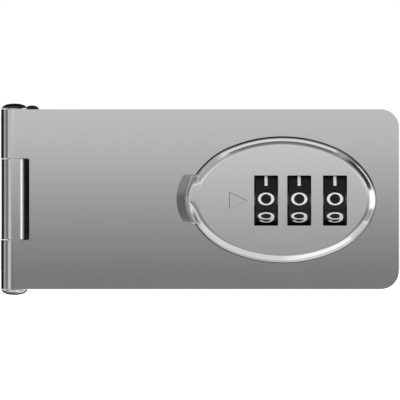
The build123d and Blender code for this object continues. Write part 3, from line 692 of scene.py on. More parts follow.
class Finishes:
    """All materials, made once and asked for by name."""

    def __init__(self) -> None:
        """Make the materials."""
        self.plate = polished("plate_steel", 0.66, 0.2, 0.012)
        self.plate_back = MetalFinish("plate_back", 0.36, 0.42, mottle=0.06, grain_depth=0.004).build()
        self.pin = MetalFinish("pin_steel", 0.62, 0.09, mottle=0.02).build()
        # Near-black finish for the tops of the upward domes: a painted dark reflection of the space above
        # them.
        self.painted_dark_top = MetalFinish("pin_top_painted_dark", 0.03, 0.25, mottle=0.1).build()
        self.rolled = polished("rolled_steel", 0.66, 0.14, 0.012)
        self.edge = MetalFinish("sheared_edge", 0.95, 0.5, mottle=0.05, metallic=0.2).build()
        self.case = polished("case_metal", 0.8, 0.1)
        self.case_face = polished("case_face", 0.85, 0.26)
        self.engraving = MetalFinish("engraving", 0.34, 0.5, mottle=0.1).build()
        # Near-black finish that stands in for shade: it is painted on the case wall under the rim and on
        # the knuckle's right flank beside the cut-out.
        self.gap = MetalFinish("painted_shade_black", 0.05, 0.5, mottle=0.1).build()
        self.tab = polished("tab_metal", 0.84, 0.18)
        # The tab's darker grip and brighter ridge are painted shade and a painted highlight.
        self.grip = polished("tab_grip_painted_shade", 0.46, 0.2, 0.02)
        self.ridge = polished("tab_ridge_painted_highlight", 0.66, 0.2, 0.02)
        self.slide = MetalFinish("slide_metal", 0.45, 0.42, grain_depth=0.01).build()
        drawn = {"grain_stretch": (0.08, 1, 1), "grain_depth": 0.003}
        self.cover = MetalFinish("cover_steel", 0.5, 0.38, **drawn).build()
        self.shaft = MetalFinish("shaft_steel", 0.55, 0.22, grain_stretch=(6, 1, 1)).build()
        self.brass = MetalFinish("brass", 0.6, 0.3, warmth=0.28).build()
        self.fastener = MetalFinish("fastener_steel", 0.48, 0.28, warmth=0.03).build()
        self.spring = MetalFinish("spring_steel", 0.4, 0.2).build()
        self.dial = PlasticFinish("dial_black", (0.004,) * 3, (0.008,) * 3, 0.4, specular=0.3).build()
        self.digit = PlasticFinish("digit_white", (0.84, 0.84, 0.83), (0.9, 0.9, 0.89), 0.5).build()


def paint(
    obj: Object,
    materials: Sequence[Material],
    choose: Callable[[Triple, Triple], int],
) -> None:
    """Give a piece its materials, and each face the one that is chosen for it.

    Args:
        obj: The piece.
        materials: Its materials.
        choose: Gives the number of a face's material for its centre, as (x, depth, z) in
            millimetres, and its normal.
    """
    for material in materials:
        obj.data.materials.append(material)
    for face in obj.data.polygons:
        x, y, z = face.center
        face.material_index = choose((x / MM, -y / MM, z / MM), face.normal)


# Sub-assemblies


@dataclass
class Layout:
    """Main sizes that several sub-assemblies share, in millimetres."""

    plate_left: float = -29.0
    plate_right: float = 91.0
    plate_half_height: float = 27.1
    sheet: float = 2.0
    plate_front: float = 19.0
    face_front: float = 21.5
    barrel_radius: float = 4.0
    middle_knuckle: float = 24.24
    knuckle_gap: float = 0.18
    oval_x: float = 55.76
    oval_half_length: float = 28.27
    oval_half_height: float = 19.09
    oval_seen_half_height: float = 18.98
    oval_seen_z: float = -0.12
    oval_end_share: float = 1.047
    oval_side_share: float = 0.9556
    dial_xs: Triple = (50.94, 60.91, 71.68)
    dial_depth: float = 12.45

    @property
    def pin_x(self) -> float:
        """Place of the hinge pin's axis along X."""
        return self.plate_left + self.barrel_radius

    @property
    def pin_depth(self) -> float:
        """Depth of the hinge pin's axis."""
        return self.plate_front - self.barrel_radius

    def oval(self, grow: float = 0.0, steps: int = 22, shift: Pair = (0.0, 0.0)) -> list[Pair]:
        """Outline of the lock's oval as eight tangent arcs, grown or shrunk all round.

        Args:
            grow: Distance outside the oval; negative is inside.
            steps: Points on each arc.
            shift: Offset of the whole outline along X and Z.

        Returns:
            Points of (x, z) in millimetres, anticlockwise.
        """
        half_length, half_height = self.oval_half_length, self.oval_seen_half_height
        end = self.oval_end_share * half_height**2 / half_length
        side = self.oval_side_share * half_length**2 / half_height
        shoulder = sqrt(end * side)
        end_x, side_z = half_length - end, half_height - side
        span, near = hypot(end_x, side_z), side - shoulder
        turn = acos((span**2 + near**2 - (shoulder - end) ** 2) / (2 * span * near))
        side_angle = atan2(-side_z, end_x) + turn
        mid_x, mid_z = near * cos(side_angle), side_z + near * sin(side_angle)
        end_angle = degrees(atan2(-mid_z, end_x - mid_x))
        side_angle = degrees(side_angle)
        x, z = self.oval_x + shift[0], self.oval_seen_z + shift[1]
        outline: list[Pair] = []
        for s, half in ((1, 0), (-1, 180)):
            outline += arc((x + s * end_x, z), end + grow, half - end_angle, half + end_angle, steps)[:-1]
            centre = (x + s * mid_x, z + s * mid_z)
            outline += arc(centre, shoulder + grow, half + end_angle, half + side_angle, steps)[:-1]
            first, last = half + side_angle, half + 180 - side_angle
            outline += arc((x, z + s * side_z), side + grow, first, last, steps)[:-1]
            centre = (x - s * mid_x, z + s * mid_z)
            outline += arc(centre, shoulder + grow, last, half + 180 - end_angle, steps)[:-1]
        return outline

    def lug_places(self) -> list[Pair]:
        """Centres of the four lugs that clamp the case."""
        reach_x, reach_z = self.oval_half_length - 4.07, self.oval_half_height - 4.29
        return [(self.oval_x + sx * reach_x, sz * reach_z) for sx in (-1, 1) for sz in (-1, 1)]


@dataclass
class Assembly:
    """Sub-assembly of the lock, which builds and dresses its own pieces."""

    layout: Layout
    finishes: Finishes

    def place(self, obj: Object, body: Body | str, slot: str, *replaced: str) -> None:
        """Say what a finished piece rides on and which CAD nodes it stands for.

        Args:
            obj: The piece.
            body: The body that it moves with.
            slot: Name of a material slot; not used.
            *replaced: CAD nodes that it replaces.
        """
        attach(obj, body.value if isinstance(body, Body) else body)
        if replaced:
            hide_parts(*replaced)
        log.info("%s: %d faces", obj.name, len(obj.data.polygons))


@dataclass
class HaspPlate(Assembly):
    """Front plate with two rolled knuckles, the oval opening and four studs."""

    corner: float = 5.45
    curl_end: float = 10.0
    cut_clearance: float = 0.6
    hole_clearance: float = 0.12
    stud_radius: float = 1.5
    stud_length: float = 4.0
    stud_root: float = 0.5
    edge: float = 0.26
    arc_steps: int = 96
    margin: float = 1.0
    beyond: float = 8.0
    mask_front: float = 30.0

    def section(self) -> list[Pair]:
        """Section of the rolled sheet.

        Returns:
            Points of (x, depth) in millimetres.
        """
        lay = self.layout
        centre = (lay.pin_x, lay.pin_depth)
        bore = lay.barrel_radius - lay.sheet
        outline = [(lay.plate_right, lay.plate_front)]
        outline += arc(centre, lay.barrel_radius, 90, 360 - self.curl_end, self.arc_steps)
        outline += arc(centre, bore, 360 - self.curl_end, 90, self.arc_steps // 2)
        outline.append((lay.plate_right, lay.plate_front - lay.sheet))
        return outline

    def build(self) -> None:
        """Build and dress the plate."""
        lay = self.layout
        half, front = lay.plate_half_height, lay.plate_front
        back = front - lay.sheet
        plate = prism_along_z("front_plate", self.section(), -half, half)
        outline = rectangle(lay.plate_left - self.beyond, lay.plate_right, -half, half, self.corner)
        combine(plate, Join.KEEP, prism_to_front("corners", outline, -1, self.mask_front))
        cut = lay.middle_knuckle / 2 + lay.knuckle_gap
        edge_x = lay.pin_x + lay.barrel_radius + self.cut_clearance
        opening = rectangle(lay.plate_left - self.margin, edge_x, -cut, cut)
        low, over = lay.pin_depth - 2 * lay.barrel_radius, 2 * self.margin
        gap = prism_to_front("gap", opening, low, front + self.margin)
        hole = prism_to_front("hole", lay.oval(self.hole_clearance), back - over, front + over)
        combine(plate, Join.CUT, gap, hole)
        for place in lay.lug_places():
            outline = circle(place, self.stud_radius, 40)
            stud = prism_to_front("stud", outline, back - self.stud_length, back + self.stud_root)
            combine(plate, Join.ADD, stud)
        soften(plate, self.edge)

        def choose(centre: Triple, normal: Triple) -> int:
            """Sheared wall of the cut-out, rolled barrel, unpolished back or polished front.

            Args:
                centre: Centre of the face, as (x, depth, z) in millimetres.
                normal: Its normal.

            Returns:
                Number of its material.
            """
            x, depth, _ = centre
            if abs(x - edge_x) < NEAR and abs(normal[0]) > FACING:
                return 2
            if x < lay.pin_x:
                return 3
            return int(abs(depth - back) < NEAR and abs(normal[1]) > FACING)

        look = self.finishes
        paint(plate, (look.plate, look.plate_back, look.edge, look.rolled), choose)
        self.place(plate, Body.HASP, "plate_steel", "hasp_plate")


@dataclass
class FixedLeaf(Assembly):
    """Leaf on the cabinet: base, ears, web and the middle knuckle."""

    length: float = 51.0
    inset: float = 0.5
    corner: float = 3.0
    curl_end: float = 80.0
    ear_start: float = 5.5
    ear_width: float = 10.5
    ear_front: float = 16.2
    ear_relief: float = 0.5
    knuckle_shift: float = 0.12
    shade_from: float = 3.02
    ear_pin: Pair = (5.22, 4.6)
    ear_pin_hole: float = 1.55
    screw_edges: Triple = (12.0, 10.0, 10.6)
    screw_radii: Pair = (2.75, 4.1)
    edge: float = 0.16
    arc_steps: int = 96
    bend_steps: int = 12
    hole_over: float = 0.1
    beyond: float = 10.0
    mask_front: float = 5.0

    def knuckle_section(self) -> list[Pair]:
        """Section through the web and the middle knuckle.

        Returns:
            Points of (x, depth) in millimetres.
        """
        lay = self.layout
        centre = (lay.pin_x + self.knuckle_shift, lay.pin_depth)
        left, sheet = lay.plate_left + self.knuckle_shift, lay.sheet
        root = left + 2 * sheet + self.corner
        outline = [(left, lay.pin_depth)]
        outline += arc(centre, lay.barrel_radius, 180, -self.curl_end, self.arc_steps)
        outline += arc(centre, lay.barrel_radius - sheet, -self.curl_end, 180, self.arc_steps // 2)
        outline += [(left + sheet, sheet), (root, sheet), (root, 0.0)]
        outline += arc((left + sheet, sheet), sheet, 270, 180, self.bend_steps)
        return outline

    def screw_holes(self, start: float, end: float, half: float) -> list[Object]:
        """Cutters of the four countersunk screw holes.

        Args:
            start: Where the flat part of the leaf starts along X.
            end: Where it ends.
            half: Half its height.

        Returns:
            The cutters.
        """
        hinge_edge, end_edge, side_edge = self.screw_edges
        hole, head = self.screw_radii
        sheet, over = self.layout.sheet, self.hole_over
        levels = ((-1.0, hole), (sheet - (head - hole), hole), (sheet + over, head + over))
        cutters = []
        for x in (start + hinge_edge, end - end_edge):
            for z in (side_edge - half, half - side_edge):
                rings = [
                    [in_plan(px, depth, pz) for px, pz in circle((x, z), radius, 48)]
                    for depth, radius in levels
                ]
                cutters.append(loft("screw_hole", rings))
        return cutters

    def build(self) -> None:
        """Build and dress the leaf."""
        lay = self.layout
        half = lay.plate_half_height - self.inset
        start = lay.plate_left + lay.sheet + self.corner
        end = lay.plate_left + self.length
        knuckle = lay.middle_knuckle / 2
        leaf = prism_to_front("fixed_leaf_shell", rectangle(start, end, -half, half), 0, lay.sheet)
        corners = rectangle(start - self.beyond, end, -half, half, self.corner)
        combine(leaf, Join.KEEP, prism_to_front("corners", corners, -1, self.mask_front))
        combine(leaf, Join.ADD, prism_along_z("curl", self.knuckle_section(), -knuckle, knuckle))
        left, front, radius = lay.plate_left + self.ear_start, self.ear_front, self.corner
        right = left + self.ear_width
        outline = [(left, 1.0), (right, 1.0)]
        outline += arc((right - radius, front - radius), radius, 0, 90, CORNER_STEPS) + [(left, front)]
        for low in (-half, half - lay.sheet):
            combine(leaf, Join.ADD, prism_along_z("ear", outline, low, low + lay.sheet))
        relief = circle((lay.pin_x, lay.pin_depth), lay.barrel_radius + self.ear_relief)
        for side in (1, -1):
            near, far = sorted((side * (knuckle + lay.knuckle_gap), side * (half + 1)))
            combine(leaf, Join.CUT, prism_along_z("relief", relief, near, far))
        hole = circle((lay.pin_x + self.ear_pin[0], lay.pin_depth - self.ear_pin[1]), self.ear_pin_hole)
        combine(leaf, Join.CUT, prism_along_z("pin_hole", hole, -half - 1, half + 1))
        combine(leaf, Join.CUT, *self.screw_holes(start, end, half))
        soften(leaf, self.edge)

        def choose(centre: Triple, normal: Triple) -> int:
            """Rolled left front of the knuckle, its right flank painted dark as shade, unpolished back, or
            the rest.

            Args:
                centre: Centre of the face, as (x, depth, z) in millimetres.
                normal: Its normal.

            Returns:
                Number of its material.
            """
            x, depth = centre[0] - lay.pin_x, centre[1] - lay.pin_depth
            if abs(centre[2]) < knuckle and hypot(x, depth) > lay.barrel_radius - 0.1:
                if depth > 0 and x < 0:
                    return 3
                # Painted shade: the knuckle's right flank in the gap beside the plate's cut-out gets the
                # near-black finish.
                if x > self.shade_from:
                    return 2
            return int(abs(centre[1] - lay.sheet) < NEAR and abs(normal[1]) > FACING)

        look = self.finishes
        paint(leaf, (look.plate, look.plate_back, look.gap, look.rolled), choose)
        self.place(leaf, Body.BASE, "plate_steel", "fixed_leaf")


@dataclass
class HingePins(Assembly):
    """Hinge pin with its domed ends, and the small pin through the leaf's ears; the tops of the upward
    domes are painted near-black as a dark reflection.
    """

    shank_radius: float = 1.95
    dome_radius: float = 3.88
    dome_height: float = 1.7
    dome_gap: float = 0.1
    fullness: float = 0.9
    # Height above the rim from which the upward domes are painted near-black as a dark reflection.
    painted_dark_from: float = 0.3
    ear_pin_offset: float = 5.22
    ear_pin_setback: float = 4.6
    ear_pin_radius: float = 1.5
    ear_head_radius: float = 2.28
    ear_head_height: float = 1.8
    leaf_inset: float = 0.5
    turns: int = 96
    rows: int = 20

    def dome(self, radius: float, height: float, base: float, way: int) -> list[Pair]:
        """Profile of a domed head, from its rim to near its crown.

        Args:
            radius: Radius of the head.
            height: Its height.
            base: Height of its rim.
            way: 1 for a dome that points up, -1 for one that points down.

        Returns:
            Points of (radius, z) in millimetres.
        """
        profile = []
        for row in range(self.rows):
            angle = pi / 2 * row / self.rows
            share, level = cos(angle) ** self.fullness, sin(angle) ** self.fullness
            profile.append((radius * share, base + way * height * level))
        return profile

    def build(self) -> None:
        """Build and dress the three pins."""
        lay = self.layout
        axis = (lay.pin_x, lay.pin_depth)
        ear_axis = (lay.pin_x + self.ear_pin_offset, lay.pin_depth - self.ear_pin_setback)
        base = lay.plate_half_height + self.dome_gap
        top = lay.plate_half_height - self.leaf_inset
        shank = [(self.shank_radius, base), (self.shank_radius, -base)]
        ear_shank = [(self.ear_pin_radius, -top), (self.ear_pin_radius, top)]
        upper = self.dome(self.dome_radius, self.dome_height, base, 1)
        lower = self.dome(self.dome_radius, self.dome_height, -base, -1)
        ear = self.dome(self.ear_head_radius, self.ear_head_height, top, 1)
        plans = (
            ("upper_dome", upper, axis, base, "pin_cap"),
            ("pin_and_lower_dome", shank + lower, axis, None, "hinge_pin"),
            ("ear_pin_turned", ear_shank + ear, ear_axis, top, "ear_pin"),
        )
        for name, profile, place, rim, node in plans:
            rings = [
                [in_plan(x, depth, z) for x, depth in circle(place, radius, self.turns)]
                for radius, z in profile
            ]
            pin = loft(name, rings)
            soften(pin, 0.0)
            pin.data.materials.append(self.finishes.pin)
            if rim is not None:
                # Painted dark reflection: faces of an upward dome above this height get the near-black
                # finish, while the lower dome keeps the bright pin steel.
                dark = rim + self.painted_dark_from
                paint(pin, [self.finishes.painted_dark_top], lambda centre, _: int(centre[2] > dark))
            self.place(pin, Body.BASE, "pin_steel", node)


@dataclass
class LockCase(Assembly):
    """Oval case: raised face with a rounded rim, windows, tab notch, wall and flange."""

    back: float = 2.2
    rim_depth: float = 2.3
    rim_width: float = 2.45
    rim_end_extra: float = 0.7
    wall_inset: float = 0.1
    rim_shift: Pair = (0.1, -0.08)
    wall: float = 2.0
    face_back: float = 19.7
    flange_width: float = 2.2
    flange_depths: Pair = (15.2, 17.0)
    lug_radius: float = 3.4
    window_half_width: float = 3.61
    window_z: Pair = (-7.93, 7.17)
    window_corner: float = 0.25
    stud_hole: float = 1.55
    front_facing: float = 0.9
    notch_end: float = 31.03
    notch_half: float = 7.45
    notch_floor: float = 19.1
    pocket_half: float = 5.2
    pocket_end: float = 40.7
    pocket_front: float = 20.7
    mark_left: float = 39.9
    mark_tip: float = 45.1
    mark_z: Pair = (2.07, -2.76)
    mark_widths: Triple = (0.22, 0.05, 0.2)
    mark_depth: float = 0.12
    mark_margin: float = 0.5
    hole_depths: Pair = (12.0, 18.0)
    seam: float = 0.05
    edge: float = 0.07
    rim_steps: int = 14

    def rim_back(self) -> float:
        """Depth at which the rounded rim meets the wall."""
        return self.layout.face_front - self.rim_depth

    def shell(self) -> Object:
        """Build the outer shell with its rim and cavity, before anything is cut.

        Returns:
            The shell.
        """
        lay = self.layout
        flange_back, flange_front = self.flange_depths
        behind = [(0.0, self.back), (0.0, flange_back)]
        behind += [(self.flange_width, depth) for depth in self.flange_depths]
        rings = [[in_plan(x, depth, z) for x, z in lay.oval(grow)] for grow, depth in behind]
        profile = [(0.0, flange_front)]
        for step in range(self.rim_steps + 1):
            angle = pi / 2 * step / self.rim_steps
            profile.append((1 - cos(angle), self.rim_back() + self.rim_depth * sin(angle)))
        middle = lay.oval_x + self.rim_shift[0]
        for share, depth in profile:
            outline = lay.oval(-self.wall_inset - self.rim_width * share, shift=self.rim_shift)
            narrow = 1 - self.rim_end_extra * share / lay.oval_half_length
            rings.append([in_plan(middle + (x - middle) * narrow, depth, z) for x, z in outline])
        case = loft("oval_case", rings)
        combine(case, Join.CUT, prism_to_front("cavity", lay.oval(-self.wall), 0.0, self.face_back))
        return case

    def mark_strokes(self) -> list[Object]:
        """Cutters of the engraved index triangle's three strokes.

        Returns:
            The cutters.
        """
        front = self.layout.face_front
        top, bottom = self.mark_z
        corners = [(self.mark_left, top), (self.mark_left, bottom), (self.mark_tip, (top + bottom) / 2)]
        strokes = []
        for (x0, z0), (x1, z1), width in zip(corners, corners[1:] + corners[:1], self.mark_widths):
            length = hypot(x1 - x0, z1 - z0)
            dx, dz = -(z1 - z0) / length * width / 2, (x1 - x0) / length * width / 2
            outline = [(x0 + dx, z0 + dz), (x1 + dx, z1 + dz), (x1 - dx, z1 - dz), (x0 - dx, z0 - dz)]
            strokes.append(prism_to_front("stroke", outline, front - self.mark_depth, front + 1))
        return strokes

    def build(self) -> None:
        """Build and dress the case."""
        lay = self.layout
        case = self.shell()
        flange_back, flange_front = self.flange_depths
        for place in lay.lug_places():
            lug = prism_to_front("lug", circle(place, self.lug_radius), flange_back, flange_front)
            combine(case, Join.ADD, lug)
        front, half, left = lay.face_front + 1, self.window_half_width, lay.oval_x - lay.oval_half_length
        windows = [rectangle(x - half, x + half, *self.window_z, self.window_corner) for x in lay.dial_xs]
        notch = rectangle(left - 1, self.notch_end, -self.notch_half, self.notch_half)
        pocket = rectangle(left + self.wall, self.pocket_end, -self.pocket_half, self.pocket_half)
        openings = [(window, self.face_back - 1, front) for window in windows]
        openings += [(notch, self.notch_floor, front), (pocket, self.notch_floor, self.pocket_front)]
        openings += [(circle(place, self.stud_hole, 40), *self.hole_depths) for place in lay.lug_places()]
        for outline, back, end in openings:
            combine(case, Join.CUT, prism_to_front("opening", outline, back, end))
        combine(case, Join.CUT, *self.mark_strokes())
        soften(case, self.edge)
        rim_back = self.rim_back()

        def choose(centre: Triple, normal: Triple) -> int:
            """Flat face, engraved strokes, the wall under the rim painted dark as shade, or the polished
            rest.

            Args:
                centre: Centre of the face, as (x, depth, z) in millimetres.
                normal: Its normal.

            Returns:
                Number of its material.
            """
            x, depth, z = centre
            if abs(depth - lay.face_front) < NEAR and normal[1] < -self.front_facing:
                return 1
            near_mark = self.mark_left - self.mark_margin < x < self.mark_tip + self.mark_margin
            if near_mark and depth > lay.face_front - 2 * self.mark_depth:
                return 2 if abs(z) < self.notch_half else 0
            # Painted shade: the wall between the flange and the rim gets the near-black finish, for the
            # shadow in the gap round the case.
            return 3 if flange_front - NEAR < depth < rim_back - self.seam else 0

        look = self.finishes
        paint(case, (look.case, look.case_face, look.engraving, look.gap), choose)
        self.place(case, Body.HASP, "case_metal", "lock_case")


@dataclass
class ReleaseTab(Assembly):
    """Finger tab at the oval's left end, with two grip grooves and its tongue."""

    case: LockCase
    reach: float = 3.53
    arc_radius: float = 13.5
    half: float = 7.4
    end: float = 30.99
    back: float = 19.2
    crown: float = 21.48
    crown_width: float = 0.6
    shoulder: float = 21.3
    rim_starts: Pair = (20.5, 21.0)
    rim_blends: tuple[Pair, Pair] = ((0.5, 5.0), (4.0, 7.4))
    face_steps: int = 32
    flank_steps: int = 6
    edge_steps: int = 6
    ridge: float = 21.05
    lip: float = 19.35
    lip_edge: float = 0.12
    lip_turn: float = 128.0
    ridge_drop: float = 0.1
    groove_step: float = 0.02
    grip_offsets: Pair = (0.97, 0.04)
    grip_width: float = 0.36
    grip_floor: Pair = (-0.4, 0.5)
    grip_depth: float = 0.26
    grip_half: float = 6.3
    grip_lean: float = 0.17
    ridge_highlight_top: float = 1.0
    lean_from: float = 2.0
    edge: float = 0.4
    tongue_half: float = 5.0
    tongue_end: float = 40.5
    tongue_depths: Pair = (19.5, 20.5)
    rows: int = 90

    def grip_x(self, offset: float, z: float) -> float:
        """Find where a line beside the oval crosses a height.

        Args:
            offset: Distance of the line outside the oval.
            z: The height.

        Returns:
            The place along X.
        """
        lay = self.layout
        radius = lay.oval_end_share * lay.oval_half_height**2 / lay.oval_half_length
        centre = lay.oval_x - lay.oval_half_length + radius
        return centre - sqrt((radius + offset) ** 2 - z**2)

    def rim_level(self, x: float, z: float) -> float:
        """Depth of the case's rounded rim, carried on over the tab.

        Args:
            x: Place along X.
            z: Height.

        Returns:
            The depth.
        """
        case = self.case
        inside = (x - self.grip_x(0.0, z)) * cos(z / self.arc_radius)
        inside -= case.wall_inset + case.rim_shift[0]
        share = min(max(inside / (case.rim_width + case.rim_end_extra), 0.0), 1.0)
        return case.rim_back() + case.rim_depth * sqrt(1 - (1 - share) ** 2)

    def row(self, z: float, drop: float) -> list[Triple]:
        """One closed section of the pad.

        Args:
            z: Its height in millimetres.
            drop: How far the front of the outer part is rounded back here.

        Returns:
            Points from the outer edge's back, over the front, to the inner edge's back.
        """
        outer = self.layout.oval_x - self.layout.oval_half_length - self.reach
        outer += self.arc_radius - sqrt(self.arc_radius**2 - z**2)
        lip = self.lip_edge
        points = [(outer, self.back)] + arc((outer + lip, self.lip - lip), lip, 180, self.lip_turn, 4)
        groove = self.grip_depth if abs(z) < self.grip_half else 0.0
        lines = [self.grip_x(offset, z) for offset in self.grip_offsets]
        half = self.grip_width / 2
        flank = self.ridge - self.ridge_drop
        (x0, depth0), x1 = points[-1], lines[0] - half
        for step in range(1, self.flank_steps + 1):
            share = step / self.flank_steps
            points.append((x0 + (x1 - x0) * share, depth0 + (flank - depth0) * share))
        end = 0 if z < 0 else 1
        rim_start, (low, high) = self.rim_starts[end], self.rim_blends[end]
        share = min(max((abs(z) - low) / (high - low), 0.0), 1.0)
        rounded = share * share * (3 - 2 * share)
        shoulder = self.shoulder + (rim_start - self.shoulder) * rounded
        levels = ((flank, flank + self.groove_step), (self.ridge, shoulder))
        for line, (before, after) in zip(lines, levels):
            points.append((line - half, before))
            points += [(line + half * side, before - groove) for side in self.grip_floor]
            points.append((line + half, after))
        front = [(x, max(depth - drop, self.back)) for x, depth in points]
        x0, depth0 = points[-1]
        for step in range(1, self.face_steps + 1):
            share = step / self.face_steps
            x = x0 + (self.end - x0) * share
            rise = 1 - (1 - min(share * (self.end - x0) / self.crown_width, 1.0)) ** 2
            level = depth0 + (self.crown - depth0) * rise
            rim = min(max(self.rim_level(x, z), rim_start), self.crown)
            level += (rim - level) * rounded
            front.append((x, max(level - drop * max(1 - 6 * share, 0.0), self.back)))
        front.append((self.end, self.back))
        return [in_plan(x, depth, z) for x, depth in front]

    def build(self) -> None:
        """Build and dress the tab."""
        left = self.layout.oval_x - self.layout.oval_half_length
        inner = self.half - self.edge
        turns = [pi / 2 * step / self.edge_steps for step in range(self.edge_steps + 1)]
        heights = [(inner + self.edge * sin(turn), self.edge * (1 - cos(turn))) for turn in turns]
        middle = [(inner * (1 - 2 * step / self.rows), 0.0) for step in range(1, self.rows)]
        rows = list(reversed(heights)) + middle + [(-z, drop) for z, drop in heights]
        tab = loft("finger_tab", [self.row(z, drop) for z, drop in rows])
        tongue = rectangle(left, self.tongue_end, -self.tongue_half, self.tongue_half)
        combine(tab, Join.ADD, prism_to_front("tongue", tongue, *self.tongue_depths))
        soften(tab, 0.0)
        ridge_line, step_line = (offset - self.grip_width / 2 for offset in self.grip_offsets)

        def choose(centre: Triple, _: Triple) -> int:
            """Outer grip painted darker as shade, the ridge between the grooves painted brighter as a
            highlight on its lower part, or the polished rest.

            Args:
                centre: Centre of the face, as (x, depth, z) in millimetres.
                _: Its normal.

            Returns:
                Number of its material.
            """
            x, _, z = centre
            lean = max(z - self.lean_from, 0.0) * self.grip_lean
            if abs(z) >= self.half or x >= self.grip_x(step_line - lean, z):
                return 0
            # Painted shade and highlight: the outer grip is darker, and the ridge is brighter only on its
            # lower part.
            return 1 if x < self.grip_x(ridge_line, z) or z > self.ridge_highlight_top else 2

        look = self.finishes
        paint(tab, (look.tab, look.grip, look.ridge), choose)
        self.place(tab, Body.RELEASE, "tab_metal", "release_tab")


@dataclass
class NumberWheels(Assembly):
    """Three black wheels with ten flutes each and ten white digits."""

    radius: float = 9.635
    width: float = 6.4
    bore: float = 3.48
    steps: int = 10
    flute_radius: float = 0.9
    flute_depth: float = 0.35
    edge: float = 0.3
    digit_width: float = 4.92
    digit_height: float = 3.82
    digit_lift: float = 0.1
    pen: Pair = (0.9, 0.42)
    bar_steps: int = 8
    print_height: float = 0.012
    print_root: float = 0.01

    def profile(self) -> list[Pair]:
        """Outline across the axis, with its flutes.

        Returns:
            Points of (depth, z) in millimetres.
        """
        centre_radius = self.radius + self.flute_radius - self.flute_depth
        reach = (self.radius**2 + centre_radius**2 - self.flute_radius**2) / (2 * centre_radius)
        half_turn = degrees(acos(reach / self.radius))
        inner = degrees(acos((centre_radius - reach) / self.flute_radius))
        step_angle = 360.0 / self.steps
        depth = self.layout.dial_depth
        outline: list[Pair] = []
        for step in range(self.steps):
            middle = step_angle * step
            low, high = middle - step_angle / 2 + half_turn, middle + step_angle / 2 - half_turn
            outline += arc((depth, 0.0), self.radius, low, high, 16)[:-1]
            flute = middle + step_angle / 2
            turn = radians(flute)
            centre = (depth + centre_radius * cos(turn), centre_radius * sin(turn))
            outline += arc(centre, self.flute_radius, flute + 180 + inner, flute + 180 - inner, 8)[:-1]
        return outline

    def wheel(self, number: int, x: float) -> Object:
        """Build one wheel's body.

        Args:
            number: Number of the wheel, from the hinge.
            x: Place of its middle along X.

        Returns:
            The wheel.
        """
        wheel = prism_along_x(f"wheel_{number}", self.profile(), x - self.width / 2, x + self.width / 2)
        hole = circle((self.layout.dial_depth, 0.0), self.bore, 96)
        combine(wheel, Join.CUT, prism_along_x("bore", hole, x - 5, x + 5))
        soften(wheel, self.edge, 3, radians(50))
        return wheel

    def bow(self, centre: Pair, radii: Pair, start: float = 0.0, end: float = 360.0) -> list[Pair]:
        """Part of an ellipse in a digit's unit square.

        Args:
            centre: Its centre.
            radii: Its radii.
            start: Angle of its start in degrees.
            end: Angle of its end in degrees.

        Returns:
            Points along it.
        """
        turn = arc((0.0, 0.0), 1.0, start, end, max(6, int(abs(end - start) / 9)))
        return [(centre[0] + radii[0] * x, centre[1] + radii[1] * y) for x, y in turn]

    def bar(self, start: Pair, end: Pair) -> list[Pair]:
        """Straight stroke in a digit's unit square."""
        shares = [i / self.bar_steps for i in range(self.bar_steps + 1)]
        return [(start[0] + (end[0] - start[0]) * s, start[1] + (end[1] - start[1]) * s) for s in shares]

    def strokes(self, digit: int) -> list[list[Pair]]:
        """Centre lines of a digit's strokes in a square from -1 to 1.

        Args:
            digit: The digit, 0 to 9.

        Returns:
            The lines.
        """
        if digit == 6:
            return [[(-x, -y) for x, y in line] for line in self.strokes(9)]
        lines = {
            0: [self.bow((0, 0), (1, 1))],
            1: [self.bar((0, -1.15), (0, 1.15))],
            2: [self.bow((0, 0.42), (0.95, 0.58), 165, -42), self.bar((0.7, 0.05), (-0.95, -1)),
                self.bar((-1.2, -1), (1.2, -1))],
            3: [self.bow((0, 0.5), (0.9, 0.5), 150, -90), self.bow((0, -0.5), (1, 0.5), 90, -150)],
            4: [self.bar((0.45, -1.15), (0.45, 1.15)), self.bar((0.45, 1), (-1, -0.4)),
                self.bar((-1.2, -0.4), (1.2, -0.4))],
            5: [self.bar((1, 1), (-0.95, 1)), self.bar((-0.75, 1.1), (-0.85, 0.1)),
                self.bow((0, -0.32), (1, 0.68), 145, -150)],
            7: [self.bar((-1.2, 1), (1.2, 1)), self.bar((1, 1), (-0.35, -1.15))],
            8: [self.bow((0, 0.52), (0.85, 0.48)), self.bow((0, -0.48), (1, 0.52))],
            9: [self.bow((0, 0.36), (1, 0.64)), self.bow((0, 0), (1, 1), 24, -146)],
        }
        return lines[digit]

    def glyph(self, digit: int) -> tuple[list[Pair], list[Sequence[int]]]:
        """Flat ribbons of one digit, drawn with a pen that is wider than it is high.

        Args:
            digit: The digit, 0 to 9.

        Returns:
            Its points as (across, up) in millimetres, and its faces.
        """
        pen_x, pen_y = self.pen[0] / 2, self.pen[1] / 2
        reach_x, reach_y = self.digit_width / 2 - pen_x, self.digit_height / 2 - pen_y
        points: list[Pair] = []
        faces: list[Sequence[int]] = []
        for unit_line in self.strokes(digit):
            line = [(x * reach_x, y * reach_y) for x, y in unit_line]
            closed = hypot(line[0][0] - line[-1][0], line[0][1] - line[-1][1]) < 1e-6
            if closed:
                line.pop()
            base, count = len(points), len(line)
            for i, (x, y) in enumerate(line):
                before = line[i - 1] if closed or i else line[i]
                after = line[(i + 1) % count] if closed or i + 1 < count else line[i]
                normal_x, normal_y = before[1] - after[1], after[0] - before[0]
                size = hypot(pen_x * normal_x, pen_y * normal_y)
                side_x, side_y = pen_x**2 * normal_x / size, pen_y**2 * normal_y / size
                points += [(x - side_x, y - side_y), (x + side_x, y + side_y)]
            for i in range(count if closed else count - 1):
                low, high = base + 2 * i, base + 2 * ((i + 1) % count)
                faces.append((low, high, high + 1, low + 1))
        return points, faces

